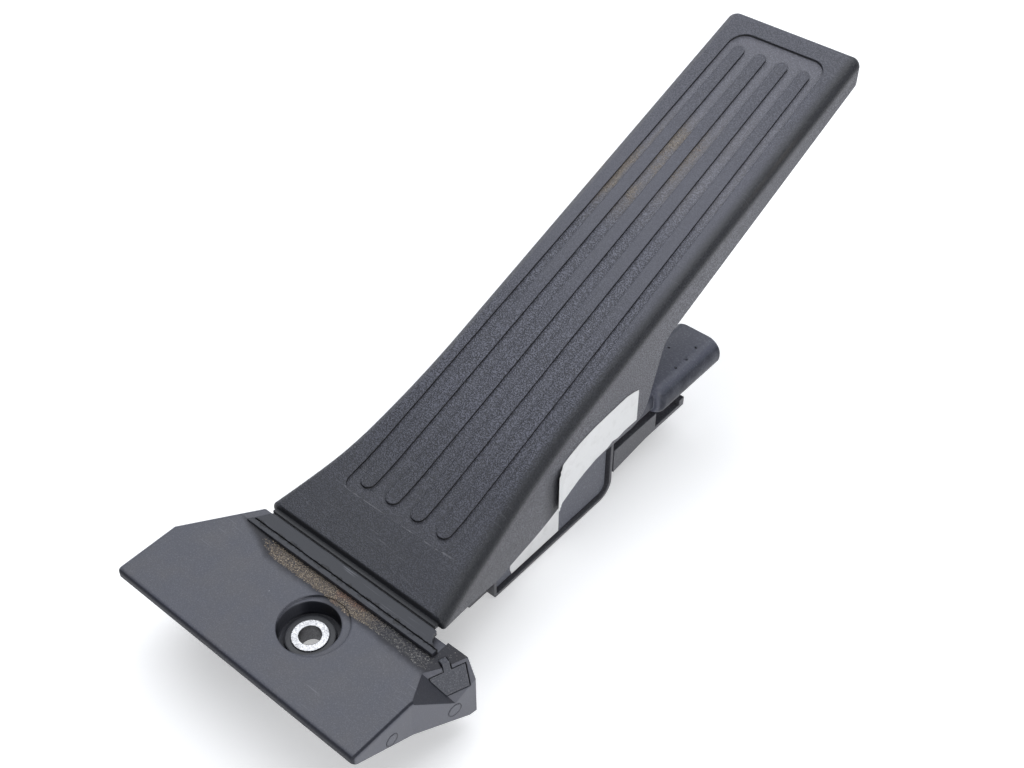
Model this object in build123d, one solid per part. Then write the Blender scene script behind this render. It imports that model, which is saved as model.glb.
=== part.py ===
from build123d import *
import math
import os

# Floor-hinged electronic accelerator pedal, in millimetres. The origin is on the axis of the floor
# bolt's bush, at its lower face. +X points to the plug side, +Y from heel to toe and +Z up from the floor.

# Clearances
FACE_GAP = 0.3
RUN_GAP = 0.05
FIT_GAP = 0.02
CLIP_GAP = 0.4

# Bolt bushes
BOLT_HOLE_D = 6.8
BUSH_D = 11.0
FLOOR_BUSH_LENGTH = 6.5
UPPER_BUSH_LENGTH = 8.0

# Heel base
FLOOR_Z = -21.5
BASE_LOW_Z = -13.5
BASE_LEFT_X = -58.5
BASE_RIGHT_X = 40.4
BASE_FLARE = 3.4
BASE_FRONT_Y = -22.4
BASE_REAR_Y = 22.0
BASE_TOP_Z = 11.0
BASE_LIP = 3.0
BASE_EDGE_R = 1.3
BASE_WALL = 2.5
CORNER_CUT_Y = -0.4
LEFT_CUT_RUN = 15.3
VALLEY_AT = (35.7, 9.0)
BLOCK_REAR_X = 40.6
FRONT_FACET_LEAN = 0.63
CLIP_FACET_LEAN = 0.33
BAND_Y = 9.6
BAND_LEFT_X = -28.0
BAND_FALL = 1.2
LEDGE_Z = 8.0
RECESS_D = 21.5
RECESS_DEPTH = 0.85
RECESS_AT = (0.9, 1.05)
COUNTERBORE_D = 18.7
COUNTERBORE_Z = 4.5
BUSH_BOSS_D = 15.0
BUSH_BOSS_Z = 6.2
BOLT_BOSS_D = 27.0
BASE_RIB = 2.0
BASE_RIB_XS = (-38.0, 20.0, 30.5)
CLIP_BLOCK = (29.5, 2.0)
BASE_CORNER_R = 1.5

# Base screws and the housing's tongue below the base
TONGUE_X = (-20.0, 10.0)
TONGUE_Z = (-12.0, -7.0)
TONGUE_FRONT_Y = 12.0
SCREW_D = 4.0
SCREW_HEAD_D = 8.0
SCREW_HEAD = 2.4
SCREW_INSET = 6.0
SCREW_Y = 17.0
SCREW_BOSS_D = 8.5
SCREW_BITE = 9.0

# Hinge strip
HINGE_Y = 22.5
HINGE_Z = 10.6
FILM_GAP = 0.6
STRIP_X = (-43.2, 33.6)
STRIP_END_RUN = 4.2
STRIP_TOP_Z = 11.2
STRIP_PLATE = 2.0
STRIP_FRONT_Y = 15.4
RIDGE_WIDTH = 1.6
RIDGE_RISE = 0.3
GROOVE_WIDTH = 0.6
GROOVE_DEPTH = 0.6
STRIP_FOOT_Y = (17.6, 20.6)
NOTCH_R = 4.6

# End clip, placed along and up the facet from its front top corner
CLIP_LENGTH = 11.0
CLIP_WIDTH = 7.8
CLIP_THICK = 2.6
CLIP_AT = (7.4, -6.8)
CLIP_NECK = (2.1, 2.8)

# Tread pad
PAD_X = -6.0
PAD_HEEL = (24.3, 13.2)
HEEL_SLOPE = 11.6
HEEL_RUN = 28.3
TREAD_SLOPE = 20.4
BEND_R = 120.0
PAD_TOE_Y = 248.2
TOE_CORNER_R = 3.5
PAD_HALF_TOE = 26.2
PAD_HALF_WAIST = 27.0
PAD_HALF_HEEL = 37.6
FLARE_Y = (102.5, 17.5)
PAD_EDGE_R = 3.0
PAD_WALL = 2.8
SKIRT_WALL = 2.5
FLANGE_THICK = 1.4
FLANGE_TOP_Z = HINGE_Z + FLANGE_THICK / 2
FLANGE_LOW_Z = HINGE_Z - FLANGE_THICK / 2
FLANGE_HALF = 33.7
HEEL_EDGE_R = 1.0
SKIRT_FRONT_Y = 25.5
SKIRT_LOW_Z = 0.0
SKIRT_LOW_Y = (54.0, 80.0)
SKIRT_ARCH = (104.0, 9.0)
SKIRT_REAR = (131.5, 8.5)
SKIRT_STEP = (140.5, 36.5)
SKIRT_RADII = (9.0, 9.0, 20.0, 60.0, 25.0, 6.0)
TOE_DEPTH = 8.5

# Tread panel and its ribs
PANEL_DEPTH = 0.8
PANEL_Y = (40.7, 239.3)
PANEL_HALF = (22.0, 18.4)
PANEL_R = (4.0, 6.0)
RIB_COUNT = 4
RIB_Y = (44.5, 233.8)
RIB_PITCH = (10.5, 8.7)
RIB_FILL = 0.5

# Stiffening below the pad
STIFFENER = 1.8
STIFFENER_DEPTH = 5.0
STIFFENER_X = 11.0
STIFFENER_Y = (138.5, 241.0)
CROSS_COUNT = 5
TRACK_WIDTH = 14.0
TRACK_RISE = 1.5
TRACK_Y = (94.5, 136.5)

# Housing below the pad
HOUSING_X = (-29.0, 13.5)
HOUSING_Y = (52.5, 122.5)
HOUSING_WALL = 2.5
WALL_TOP_Z = 5.0
CHAMBER_TOP_Z = 8.5
REAR_NOTCH_Z = 3.0
PARTITION_X = (3.5, 5.5)
CHAMBER_Y = (65.5, 114.5)
CHAMBER_Z = (-14.5, 4.6)
RIM_Y = (60.5, 121.0)
RIM_HEIGHT = 3.5
RIM_WIDTH = 1.1
RIM_CORNER_R = 6.0
RIM_SMALL_R = 1.0
COVER_GROOVE = 0.9
COVER_THICK = 2.4
COVER_EDGE = 0.5
SHAFT_BOSS_R = 7.0

# Rear wedge, tongue and mounting ear of the housing
WEDGE_X = (1.0, 16.5)
WEDGE_REAR_Y = 146.0
WEDGE_LOW_Z = (-13.5, -11.3)
WEDGE_TOP_Z = -3.2
WEDGE_KNEE_Y = 141.0
REAR_TONGUE_X = (-10.0, 16.5)
REAR_TONGUE_Y = 163.0
REAR_TONGUE = 1.6
LATCH = (2.5, 2.0, 4.0)
EAR_AT = (-38.0, 146.0)
EAR_R = 9.5
EAR_X = (-27.0, -12.0)
EAR_Y = (137.0, 155.0)
EAR_Z = (-13.0, -5.0)

# Plug shroud and its pins
SHROUD_AT = (10.0, 3.5)
SHROUD_SIZE = (20.0, 12.0)
SHROUD_R = 5.6
SHROUD_WALL = 1.8
SHROUD_Y = (143.5, 178.0)
SHROUD_END = 3.0
SHROUD_DOME_R = 2.6
NECK_SIZE = (13.0, 9.0)
NECK_R = 3.0
PIN = 0.8
PIN_PITCH = 2.5
PIN_ROW_PITCH = 2.5
PIN_COLUMNS = 3
PIN_ROWS_Z = 2.75
PIN_Y = (110.9, 166.5)

# Lever, shaft and springs
PIVOT = (68.5, 2.0)
SHAFT_D = 8.0
SHAFT_OUT = 1.8
RING_D = 13.0
RING_THICK = 1.0
RING_GROOVE = 0.8
HUB_R = 8.5
HUB_END_GAP = 0.5
LEVER_WIDTH = 14.0
BEAM_Z = (7.5, 14.0)
BEAM_END_Y = 109.5
BEAM_END_R = 3.0
BEAM_HUB_R = 6.0
ELBOW_Y = 106.2
NOSE_R = 3.4
SHOE_R = 5.0
SHOE_RUN = 64.8
HEEL_LUG_Y = (60.0, 64.5)
HEEL_LUG_Z = (-9.0, -1.0)
HEEL_LUG_R = (1.0, 3.0)
GUSSET_SINK = 1.0
GUSSET_RUN = 17.0
POCKET_DEPTH = 4.0
POCKET_WALL = 1.5
POCKET_HUB_GAP = 3.0
SHOE_INSET = 1.0
SPRING_AT = (-8.0, 97.5)
SPRING_SEAT = 2.5
SEAT_D = 21.0
SEAT_STEM_D = 8.0
SEAT_STEM = 4.0
OUTER_SPRING = (19.0, 1.8, 5.5)
INNER_SPRING = (11.6, 1.2, 7.5)
SPRING_RUNS = 12
SPRING_SIDES = 8
FRICTION_X = (-24.0, -15.0)
FRICTION_HALF = 6.0
BUMPER_R = 4.0
FULL_STOP_AT = (-6.0, 111.5)
FULL_STOP_TOP_Z = -9.2
REST_STOP_Y = 62.3
REST_STOP_R = 2.4

# Sensor
MAGNET_D = 15.0
MAGNET_BORE = 9.0
MAGNET_THICK = 2.0
BOARD_STAND = 1.5
BOARD_THICK = 1.2
BOARD_Y = (67.5, 110.5)
BOARD_Z = (-13.0, 4.0)
CHIP = (5.0, 5.0, 1.0)
CHIP_YS = (70.5, 78.5)
CHIP_Z = 0.6
STAND_R = 1.8

# Reach of cutting bodies past the part, and how near an edge lies to the place it is picked by
FAR = 300.0
NEAR = 0.05


def block(x, y, z):
    """A box given by its spans along the three axes."""
    spans = (x, y, z)
    size = [high - low for low, high in spans]
    middle = [(high + low) / 2 for low, high in spans]
    return Pos(*middle) * Box(*size)


def outline(points, radii=0):
    """A flat closed face with rounded corners."""
    return make_face(FilletPolyline(*points, radius=radii, close=True))


def side_body(face, x):
    """A side outline, drawn as (Y, Z), made solid over a span of X."""
    return extrude(Pos(x[0], 0, 0) * (Plane.YZ * face), amount=x[1] - x[0], dir=(1, 0, 0))


def plan_body(face, z):
    """A plan outline, drawn as (X, Y), made solid over a span of Z."""
    return extrude(Pos(0, 0, z[0]) * face, amount=z[1] - z[0], dir=(0, 0, 1))


def rod_x(at, radius, x):
    """A round bar along X through the point (Y, Z)."""
    return Pos((x[0] + x[1]) / 2, *at) * Rot(0, 90, 0) * Cylinder(radius, x[1] - x[0])


def rod_z(at, radius, z):
    """A round bar along Z through the point (X, Y)."""
    return Pos(*at, (z[0] + z[1]) / 2) * Cylinder(radius, z[1] - z[0])


def slope(angle):
    """Unit vectors along and below a line that rises by the angle."""
    turn = math.radians(angle)
    return Vector(math.cos(turn), math.sin(turn)), Vector(math.sin(turn), -math.cos(turn))


ALONG_HEEL, UNDER_HEEL = slope(HEEL_SLOPE)
ALONG_TREAD, UNDER_TREAD = slope(TREAD_SLOPE)
BEND = Vector(*PAD_HEEL) + ALONG_HEEL * HEEL_RUN


def tread_line(drop, reach=FAR):
    """Heel end, bend and toe end of the tread surface, moved down square to itself."""
    mitre = (UNDER_HEEL + UNDER_TREAD) * (drop / (1 + UNDER_HEEL.dot(UNDER_TREAD)))
    bend = BEND + mitre
    return [(v.X, v.Y) for v in (bend - ALONG_HEEL * reach, bend, bend + ALONG_TREAD * reach)]


def tread_layer(top, bottom):
    """The side outline between two depths below the tread."""
    points = tread_line(top) + tread_line(bottom)[::-1]
    return outline(points, (0, BEND_R + top, 0, 0, BEND_R + bottom, 0))


def tread_depth(y, z):
    """How far a point (Y, Z) on the straight tread lies below its surface."""
    return (Vector(y, z) - BEND).dot(UNDER_TREAD)


def pad_plan(inset, toe_r):
    """The pad's plan: straight sides that flare out to the heel along an arc."""
    toe_y = PAD_TOE_Y - inset
    toe = (PAD_HALF_TOE - inset, toe_y)
    waist = (PAD_HALF_WAIST - inset, FLARE_Y[0])
    heel = (PAD_HALF_HEEL - inset, FLARE_Y[1])
    side = Line(toe, waist)
    flare = TangentArc(waist, heel, tangent=side % 1)
    mirrored = [mirror(edge, Plane.YZ) for edge in (side, flare)]
    ends = [Line((-toe[0], toe_y), toe), Line((-heel[0], heel[1]), heel)]
    face = make_face([side, flare, *mirrored, *ends])
    corners = face.vertices().group_by(Axis.Y)[-1]
    return Pos(PAD_X, 0, 0) * fillet(corners, toe_r)


def pad_side():
    """The pad's side outline: tread on top, flange end at the hinge, stepped skirt below."""
    flange_y = HINGE_Y + FILM_GAP / 2
    heel = BEND + ALONG_HEEL * ((flange_y - BEND.X) / ALONG_HEEL.X)
    toe_top = BEND + ALONG_TREAD * ((PAD_TOE_Y + TOE_CORNER_R - BEND.X) / ALONG_TREAD.X)
    toe_low = toe_top + UNDER_TREAD * TOE_DEPTH
    points = [
        (heel.X, heel.Y),
        (BEND.X, BEND.Y),
        (toe_top.X, toe_top.Y),
        (toe_low.X, toe_low.Y),
        SKIRT_STEP,
        SKIRT_REAR,
        SKIRT_ARCH,
        (SKIRT_LOW_Y[1], SKIRT_LOW_Z),
        (SKIRT_LOW_Y[0], SKIRT_LOW_Z),
        (SKIRT_FRONT_Y, FLANGE_LOW_Z),
        (flange_y, FLANGE_LOW_Z),
    ]
    return outline(points, (0, BEND_R, 0, 0, *SKIRT_RADII, 0))


def on_tread_rim(edge):
    """True for the edges that run round the tread, not across it."""
    middle = edge @ 0.5
    across = abs((edge % 0.5).X) > 0.99
    toe_end = middle.Y > PAD_TOE_Y - TOE_CORNER_R
    flat_part = middle.Y > FLARE_Y[0]
    if flat_part:
        return tread_depth(middle.Y, middle.Z) < NEAR and (toe_end or not across)
    heel_height = PAD_HEEL[1] + (middle.Y - PAD_HEEL[0]) * math.tan(math.radians(HEEL_SLOPE))
    return not across and middle.Z > heel_height - NEAR


def on_heel_step(edge):
    """True for the top edge of the step above the flange."""
    middle = edge @ 0.5
    return abs(middle.Y - PAD_HEEL[0]) < NEAR and middle.Z > (PAD_HEEL[1] + FLANGE_TOP_Z) / 2


def tread_panel_cut():
    """The recessed panel, less the ribs that are left standing in it."""
    corners = [(-1, 0), (1, 0), (1, 1), (-1, 1)]
    points = [(PAD_X + side * PANEL_HALF[end], PANEL_Y[end]) for side, end in corners]
    radii = [PANEL_R[end] for _, end in corners]
    plan = outline(points, radii)
    for index in range(RIB_COUNT):
        step = index - (RIB_COUNT - 1) / 2
        rounds = []
        for y, pitch in zip(RIB_Y, RIB_PITCH):
            radius = pitch * RIB_FILL / 2
            inward = radius if y == RIB_Y[0] else -radius
            rounds += (Pos(PAD_X + step * pitch, y + inward) * Circle(radius)).edges()
        plan -= make_hull(rounds)
    width = (PAD_X - PAD_HALF_HEEL, PAD_X + PAD_HALF_HEEL)
    return plan_body(plan, (0, FAR)) & side_body(tread_layer(-PANEL_DEPTH, PANEL_DEPTH), width)


def pad_stiffeners():
    """Long and cross ribs under the toe half, and the track that the lever's shoe runs on."""
    bars = [
        block((PAD_X + side * STIFFENER_X - STIFFENER / 2, PAD_X + side * STIFFENER_X + STIFFENER / 2),
              STIFFENER_Y, (0, FAR))
        for side in (-1, 1)
    ]
    pitch = (STIFFENER_Y[1] - STIFFENER_Y[0]) / (CROSS_COUNT - 1)
    for index in range(CROSS_COUNT):
        y = STIFFENER_Y[0] + index * pitch
        bars.append(block((PAD_X - PAD_HALF_HEEL, PAD_X + PAD_HALF_HEEL),
                          (y - STIFFENER / 2, y + STIFFENER / 2), (0, FAR)))
    width = (PAD_X - PAD_HALF_HEEL, PAD_X + PAD_HALF_HEEL)
    inside = plan_body(pad_plan(SKIRT_WALL / 2, TOE_CORNER_R), (0, FAR))
    depth = side_body(tread_layer(PAD_WALL / 2, PAD_WALL + STIFFENER_DEPTH), width)
    ribs = (Part() + bars) & inside & depth
    track_x = (PAD_X - TRACK_WIDTH / 2, PAD_X + TRACK_WIDTH / 2)
    track = side_body(tread_layer(PAD_WALL / 2, PAD_WALL + TRACK_RISE), track_x)
    return ribs + (track & block(track_x, TRACK_Y, (0, FAR)))


def make_pad():
    width = (PAD_X - PAD_HALF_HEEL, PAD_X + PAD_HALF_HEEL)
    body = side_body(pad_side(), width) & plan_body(pad_plan(0, TOE_CORNER_R), (-FAR, FAR))
    body = fillet([edge for edge in body.edges() if on_tread_rim(edge)], PAD_EDGE_R)
    body -= block(width, (-FAR, PAD_HEEL[0]), (FLANGE_TOP_Z, FAR))
    for x in ((width[0], PAD_X - FLANGE_HALF), (PAD_X + FLANGE_HALF, width[1])):
        body -= block(x, (-FAR, PAD_HEEL[0]), (-FAR, FAR))
    body = fillet([edge for edge in body.edges() if on_heel_step(edge)], HEEL_EDGE_R)
    under = tread_line(PAD_WALL)
    hollow_side = outline([under[0], under[1], under[2], (FAR, -FAR), (-FAR, -FAR)],
                          (0, BEND_R + PAD_WALL, 0, 0, 0))
    hollow = side_body(hollow_side, width) & plan_body(pad_plan(SKIRT_WALL, TOE_CORNER_R / 2), (-FAR, FAR))
    hollow -= block(width, (-FAR, SKIRT_FRONT_Y), (-FAR, FAR))
    return body - hollow - tread_panel_cut() + pad_stiffeners()


def base_plan(inset):
    """The base's plan: cut off at the left rear corner, flaring to the rear on the right."""
    left, right = BASE_LEFT_X + inset, BASE_RIGHT_X - inset
    front, rear = BASE_FRONT_Y + inset, BASE_REAR_Y - inset
    corner_r = max(BASE_CORNER_R - inset, 0)
    points = [
        (left, front),
        (right, front),
        (right, CORNER_CUT_Y),
        (right + BASE_FLARE, rear),
        (left + LEFT_CUT_RUN, rear),
        (left, CORNER_CUT_Y),
    ]
    return outline(points, (corner_r, corner_r, 0, 0, 0, 0))


def base_side():
    """The base's side outline: a flat top over a wedge that deepens to the rear."""
    return outline([
        (BASE_FRONT_Y, BASE_TOP_Z),
        (BASE_REAR_Y, BASE_TOP_Z),
        (BASE_REAR_Y, BASE_LOW_Z),
        (BASE_REAR_Y - BASE_WALL, BASE_LOW_Z),
        (BASE_FRONT_Y, BASE_TOP_Z - BASE_LIP),
    ])


def base_width():
    return (BASE_LEFT_X, BASE_RIGHT_X + BASE_FLARE)


def sloped_plane(start, end, lean):
    """A plane through two plan points at the base's top, facing out to the right of their line and up."""
    along = Vector(end[0] - start[0], end[1] - start[1], 0).normalized()
    return Plane(origin=(*start, BASE_TOP_Z), x_dir=along, z_dir=Vector(along.Y, -along.X, lean))


def outside(plane):
    """The space that a plane faces."""
    return plane * Pos(0, 0, FAR / 2) * Box(2 * FAR, 2 * FAR, FAR)


def clip_facet():
    """The steep facet that carries the end clip, its length running to the rear."""
    return sloped_plane(VALLEY_AT, (BLOCK_REAR_X, BASE_REAR_Y), CLIP_FACET_LEAN)


def side_notch():
    """The valley between the two facets at the base's right end."""
    front_facet = sloped_plane((BASE_RIGHT_X, CORNER_CUT_Y), VALLEY_AT, FRONT_FACET_LEAN)
    return outside(front_facet) & outside(clip_facet())


def strip_plan(grow):
    """The hinge strip's plan, with its left end cut along the base's corner."""
    left, right = STRIP_X[0] - grow, STRIP_X[1] + grow
    front, rear = STRIP_FRONT_Y - grow, HINGE_Y - FILM_GAP / 2
    return outline([(left, front), (right, front), (right, rear), (left + STRIP_END_RUN, rear)])


def base_step():
    """What is missing above the sloped band, the strip's slot and the low block right of it."""
    lean = (STRIP_FRONT_Y - BAND_Y) / BAND_FALL
    bend = (BAND_LEFT_X, BAND_Y)
    band = outside(sloped_plane((STRIP_X[1], BAND_Y), bend, lean))
    band &= outside(sloped_plane(bend, (STRIP_X[0], STRIP_FRONT_Y), lean))
    band &= block((-FAR, FAR), (-FAR, STRIP_FRONT_Y), (-FAR, FAR))
    low_block = block((STRIP_X[1], FAR), (STRIP_FRONT_Y, FAR), (BASE_TOP_Z - BAND_FALL, FAR))
    return band + low_block + plan_body(strip_plan(FIT_GAP), (LEDGE_Z, FAR))


def clip_form(grow):
    """The T of the end clip, lying flush in the facet."""
    half = CLIP_LENGTH / 2 + grow
    edge = CLIP_WIDTH / 2 + grow
    neck = CLIP_NECK[0] / 2 + grow
    thick = (-CLIP_THICK - grow, 0)
    tab = block((-half, half), (-edge, edge), thick)
    stem = block((-neck, neck), (0, CLIP_WIDTH / 2 + CLIP_NECK[1] + grow), thick)
    return clip_facet() * Pos(*CLIP_AT, 0) * (tab + stem)


def base_hollow():
    """The open space under the base, round its ribs, bosses and the solid block behind the clip."""
    hollow = plan_body(base_plan(BASE_WALL), (-FAR, BASE_TOP_Z - BASE_WALL))
    hollow -= block(base_width(), (STRIP_FRONT_Y - BASE_WALL, FAR), (LEDGE_Z - BASE_WALL, FAR))
    for x in BASE_RIB_XS:
        hollow -= block((x - BASE_RIB / 2, x + BASE_RIB / 2), (-FAR, FAR), (-FAR, FAR))
    hollow -= block((CLIP_BLOCK[0], FAR), (CLIP_BLOCK[1], FAR), (-FAR, FAR))
    hollow -= rod_z((0, 0), BOLT_BOSS_D / 2, (0, BASE_TOP_Z))
    for at in screw_places():
        hollow -= rod_z(at, SCREW_BOSS_D / 2, (TONGUE_Z[1], BASE_TOP_Z))
    return hollow


def make_base():
    body = side_body(base_side(), base_width()) & plan_body(base_plan(0), (-FAR, FAR))
    plate_edges = [
        edge for edge in body.edges()
        if edge.center().Z > BASE_TOP_Z - NEAR and edge.center().Y < BASE_REAR_Y - NEAR
    ]
    body = fillet(plate_edges, BASE_EDGE_R)
    body -= side_notch()
    body -= base_step()
    body -= base_hollow()
    body += rod_z((0, 0), BOLT_BOSS_D / 2, (0, BASE_TOP_Z - BASE_WALL))
    body -= block((TONGUE_X[0] - CLIP_GAP, TONGUE_X[1] + CLIP_GAP), (BASE_REAR_Y - 2 * BASE_WALL, FAR),
                  (-FAR, TONGUE_Z[1] + CLIP_GAP))
    pocket = rod_z((0, 0), COUNTERBORE_D / 2, (COUNTERBORE_Z, BASE_TOP_Z + BASE_LIP))
    pocket -= rod_z((0, 0), BUSH_BOSS_D / 2, (0, BUSH_BOSS_Z))
    body -= rod_z(RECESS_AT, RECESS_D / 2, (BASE_TOP_Z - RECESS_DEPTH, BASE_TOP_Z + BASE_LIP))
    body -= pocket + rod_z((0, 0), BUSH_D / 2 + FIT_GAP, (-FAR, FAR))
    for at in screw_places():
        body -= rod_z(at, SCREW_D / 2 + FIT_GAP, (TONGUE_Z[0], TONGUE_Z[1] + SCREW_BITE + FACE_GAP))
    return body - clip_form(CLIP_GAP)


def bush(at, low, length):
    """A steel compression bush round a bolt."""
    span = (low, low + length)
    return rod_z(at, BUSH_D / 2, span) - rod_z(at, BOLT_HOLE_D / 2, span)


def make_strip():
    """The fixed half of the film hinge: ridge, groove, flat bar and the foot that stands on the ledge."""
    rear_y = HINGE_Y - FILM_GAP / 2
    ridge_y = STRIP_FRONT_Y + RIDGE_WIDTH
    groove_y = ridge_y + GROOVE_WIDTH
    low_z = STRIP_TOP_Z - STRIP_PLATE
    section = outline([
        (STRIP_FRONT_Y, low_z),
        (STRIP_FOOT_Y[0], low_z),
        (STRIP_FOOT_Y[0], LEDGE_Z),
        (STRIP_FOOT_Y[1], LEDGE_Z),
        (STRIP_FOOT_Y[1], low_z),
        (rear_y, low_z),
        (rear_y, STRIP_TOP_Z),
        (groove_y, STRIP_TOP_Z),
        (groove_y, STRIP_TOP_Z - GROOVE_DEPTH),
        (ridge_y, STRIP_TOP_Z - GROOVE_DEPTH),
        (ridge_y, STRIP_TOP_Z + RIDGE_RISE),
        (STRIP_FRONT_Y, STRIP_TOP_Z + RIDGE_RISE),
    ])
    notch = rod_z((STRIP_X[1], rear_y), NOTCH_R, (0, FAR))
    return side_body(section, STRIP_X) & plan_body(strip_plan(0), (0, FAR)) - notch


def screw_places():
    return [(TONGUE_X[0] + SCREW_INSET, SCREW_Y), (TONGUE_X[1] - SCREW_INSET, SCREW_Y)]


def make_screws():
    screws = []
    for at in screw_places():
        head = rod_z(at, SCREW_HEAD_D / 2, (TONGUE_Z[0] - SCREW_HEAD, TONGUE_Z[0]))
        shank = rod_z(at, SCREW_D / 2, (TONGUE_Z[0], TONGUE_Z[1] + SCREW_BITE))
        screws.append((head + shank).solid())
    return Compound(screws)


def rim_outline(inset):
    """The rim round the side cover, with a large radius at its lower rear corner."""
    low, high = FLOOR_Z + inset, CHAMBER_TOP_Z - inset
    front, rear = RIM_Y[0] + inset, RIM_Y[1] - inset
    return outline([(front, low), (rear, low), (rear, high), (front, high)],
                   (RIM_SMALL_R, RIM_CORNER_R - inset, RIM_SMALL_R, RIM_SMALL_R))


def pin_places():
    xs = [SHROUD_AT[0] + (column - (PIN_COLUMNS - 1) / 2) * PIN_PITCH for column in range(PIN_COLUMNS)]
    zs = [PIN_ROWS_Z - PIN_ROW_PITCH / 2, PIN_ROWS_Z + PIN_ROW_PITCH / 2]
    return [(x, z) for x in xs for z in zs]


def pin_bars(size, y):
    """The six plug pins, or the channels they lie in."""
    half = size / 2
    return [block((x - half, x + half), y, (z - half, z + half)) for x, z in pin_places()]


def make_ear():
    """The mounting ear behind the pad's skirt, left of the housing."""
    corners = [(EAR_X[0], EAR_Y[0]), (EAR_X[1], EAR_Y[0]), (EAR_X[1], EAR_Y[1]), (EAR_X[0], EAR_Y[1])]
    plan = make_hull((Pos(*EAR_AT) * Circle(EAR_R)).edges() + outline(corners).edges())
    neck = block(EAR_X, (HOUSING_Y[1], EAR_Y[1]), EAR_Z)
    return plan_body(plan, EAR_Z) + neck - rod_z(EAR_AT, BUSH_D / 2 + FIT_GAP, (-FAR, FAR))


def make_rear_bracket():
    """The wedge below the plug's neck and the thin tongue with its latch behind it."""
    wedge = side_body(outline([
        (HOUSING_Y[1], WEDGE_LOW_Z[0]),
        (WEDGE_KNEE_Y, WEDGE_LOW_Z[1]),
        (WEDGE_REAR_Y, WEDGE_LOW_Z[1]),
        (WEDGE_REAR_Y, WEDGE_TOP_Z),
        (HOUSING_Y[1], WEDGE_TOP_Z),
    ]), WEDGE_X)
    top_z = WEDGE_LOW_Z[1] + REAR_TONGUE
    plate = block(REAR_TONGUE_X, (WEDGE_KNEE_Y, REAR_TONGUE_Y), (WEDGE_LOW_Z[1], top_z))
    latch = block((REAR_TONGUE_X[1] - LATCH[2], REAR_TONGUE_X[1]),
                  (REAR_TONGUE_Y - LATCH[0], REAR_TONGUE_Y), (top_z, top_z + LATCH[1]))
    return wedge + plate + latch


def make_housing():
    floor_z = FLOOR_Z + HOUSING_WALL
    front_y, rear_y = HOUSING_Y[0] + HOUSING_WALL, HOUSING_Y[1] - HOUSING_WALL
    well_x = (HOUSING_X[0] + HOUSING_WALL, PARTITION_X[0])
    body = block((HOUSING_X[0], PARTITION_X[1]), HOUSING_Y, (FLOOR_Z, WALL_TOP_Z))
    body += block((PARTITION_X[0], HOUSING_X[1]), HOUSING_Y, (FLOOR_Z, CHAMBER_TOP_Z))
    wall_spans = ((HOUSING_X[0], well_x[0]), PARTITION_X)
    for x in wall_spans:
        body += rod_x(PIVOT, SHAFT_BOSS_R, x)
    body -= block(well_x, (front_y, rear_y), (floor_z, FAR))
    body -= block(well_x, (rear_y, FAR), (REAR_NOTCH_Z, FAR))
    body -= block((PARTITION_X[1], FAR), CHAMBER_Y, CHAMBER_Z)
    for at in stand_places():
        body += rod_x(at, STAND_R, (PARTITION_X[1], board_face_x()))
    body += side_body(rim_outline(0) - rim_outline(RIM_WIDTH), (HOUSING_X[1], HOUSING_X[1] + RIM_HEIGHT))
    tongue = block(TONGUE_X, (TONGUE_FRONT_Y, HOUSING_Y[0]), TONGUE_Z)
    for x in TONGUE_X:
        inner = x + BASE_RIB if x < PAD_X else x - BASE_RIB
        tongue += block((min(x, inner), max(x, inner)), (BASE_REAR_Y + BASE_WALL, HOUSING_Y[0]),
                        (TONGUE_Z[0], 0))
    for at in screw_places():
        tongue -= rod_z(at, SCREW_D / 2 + FIT_GAP, (-FAR, FAR))
    body += tongue + make_ear() + make_rear_bracket()
    shaft = (HOUSING_X[0] - FAR, PARTITION_X[0] + FIT_GAP)
    body -= rod_x(PIVOT, SHAFT_D / 2 + FIT_GAP, shaft)
    for channel in pin_bars(PIN + 2 * FIT_GAP, (CHAMBER_Y[1] - HOUSING_WALL, HOUSING_Y[1] + HOUSING_WALL)):
        body -= channel
    return body


def make_cover():
    inset = RIM_WIDTH + COVER_GROOVE
    plate = side_body(rim_outline(inset), (HOUSING_X[1], HOUSING_X[1] + COVER_THICK))
    rim = plate.faces().sort_by(Axis.X)[-1].edges()
    return chamfer(rim, COVER_EDGE)


def oval(size, radius, y):
    """A rounded bar along Y on the plug's axis."""
    face = Plane.XZ * RectangleRounded(*size, radius)
    return extrude(Pos(SHROUD_AT[0], y[0], SHROUD_AT[1]) * face, amount=y[1] - y[0], dir=(0, 1, 0))


def make_shroud():
    outer = oval(SHROUD_SIZE, SHROUD_R, SHROUD_Y)
    outer = fillet(outer.faces().sort_by(Axis.Y)[0].edges(), SHROUD_DOME_R)
    bore = [size - 2 * SHROUD_WALL for size in SHROUD_SIZE]
    outer -= oval(bore, SHROUD_R - SHROUD_WALL, (SHROUD_Y[0] + SHROUD_END, SHROUD_Y[1]))
    body = outer + oval(NECK_SIZE, NECK_R, (HOUSING_Y[1], SHROUD_Y[0] + SHROUD_END / 2))
    for channel in pin_bars(PIN + 2 * FIT_GAP, (HOUSING_Y[0], SHROUD_Y[1] + SHROUD_WALL)):
        body -= channel
    return body


def make_shaft():
    left = HOUSING_X[0] - SHAFT_OUT
    shaft = rod_x(PIVOT, SHAFT_D / 2, (left, PARTITION_X[0]))
    groove = rod_x(PIVOT, SHAFT_D, ring_span()) - rod_x(PIVOT, SHAFT_D / 2 - RING_GROOVE, ring_span())
    return shaft - groove


def ring_span():
    return (HOUSING_X[0] - RING_THICK, HOUSING_X[0])


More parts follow.
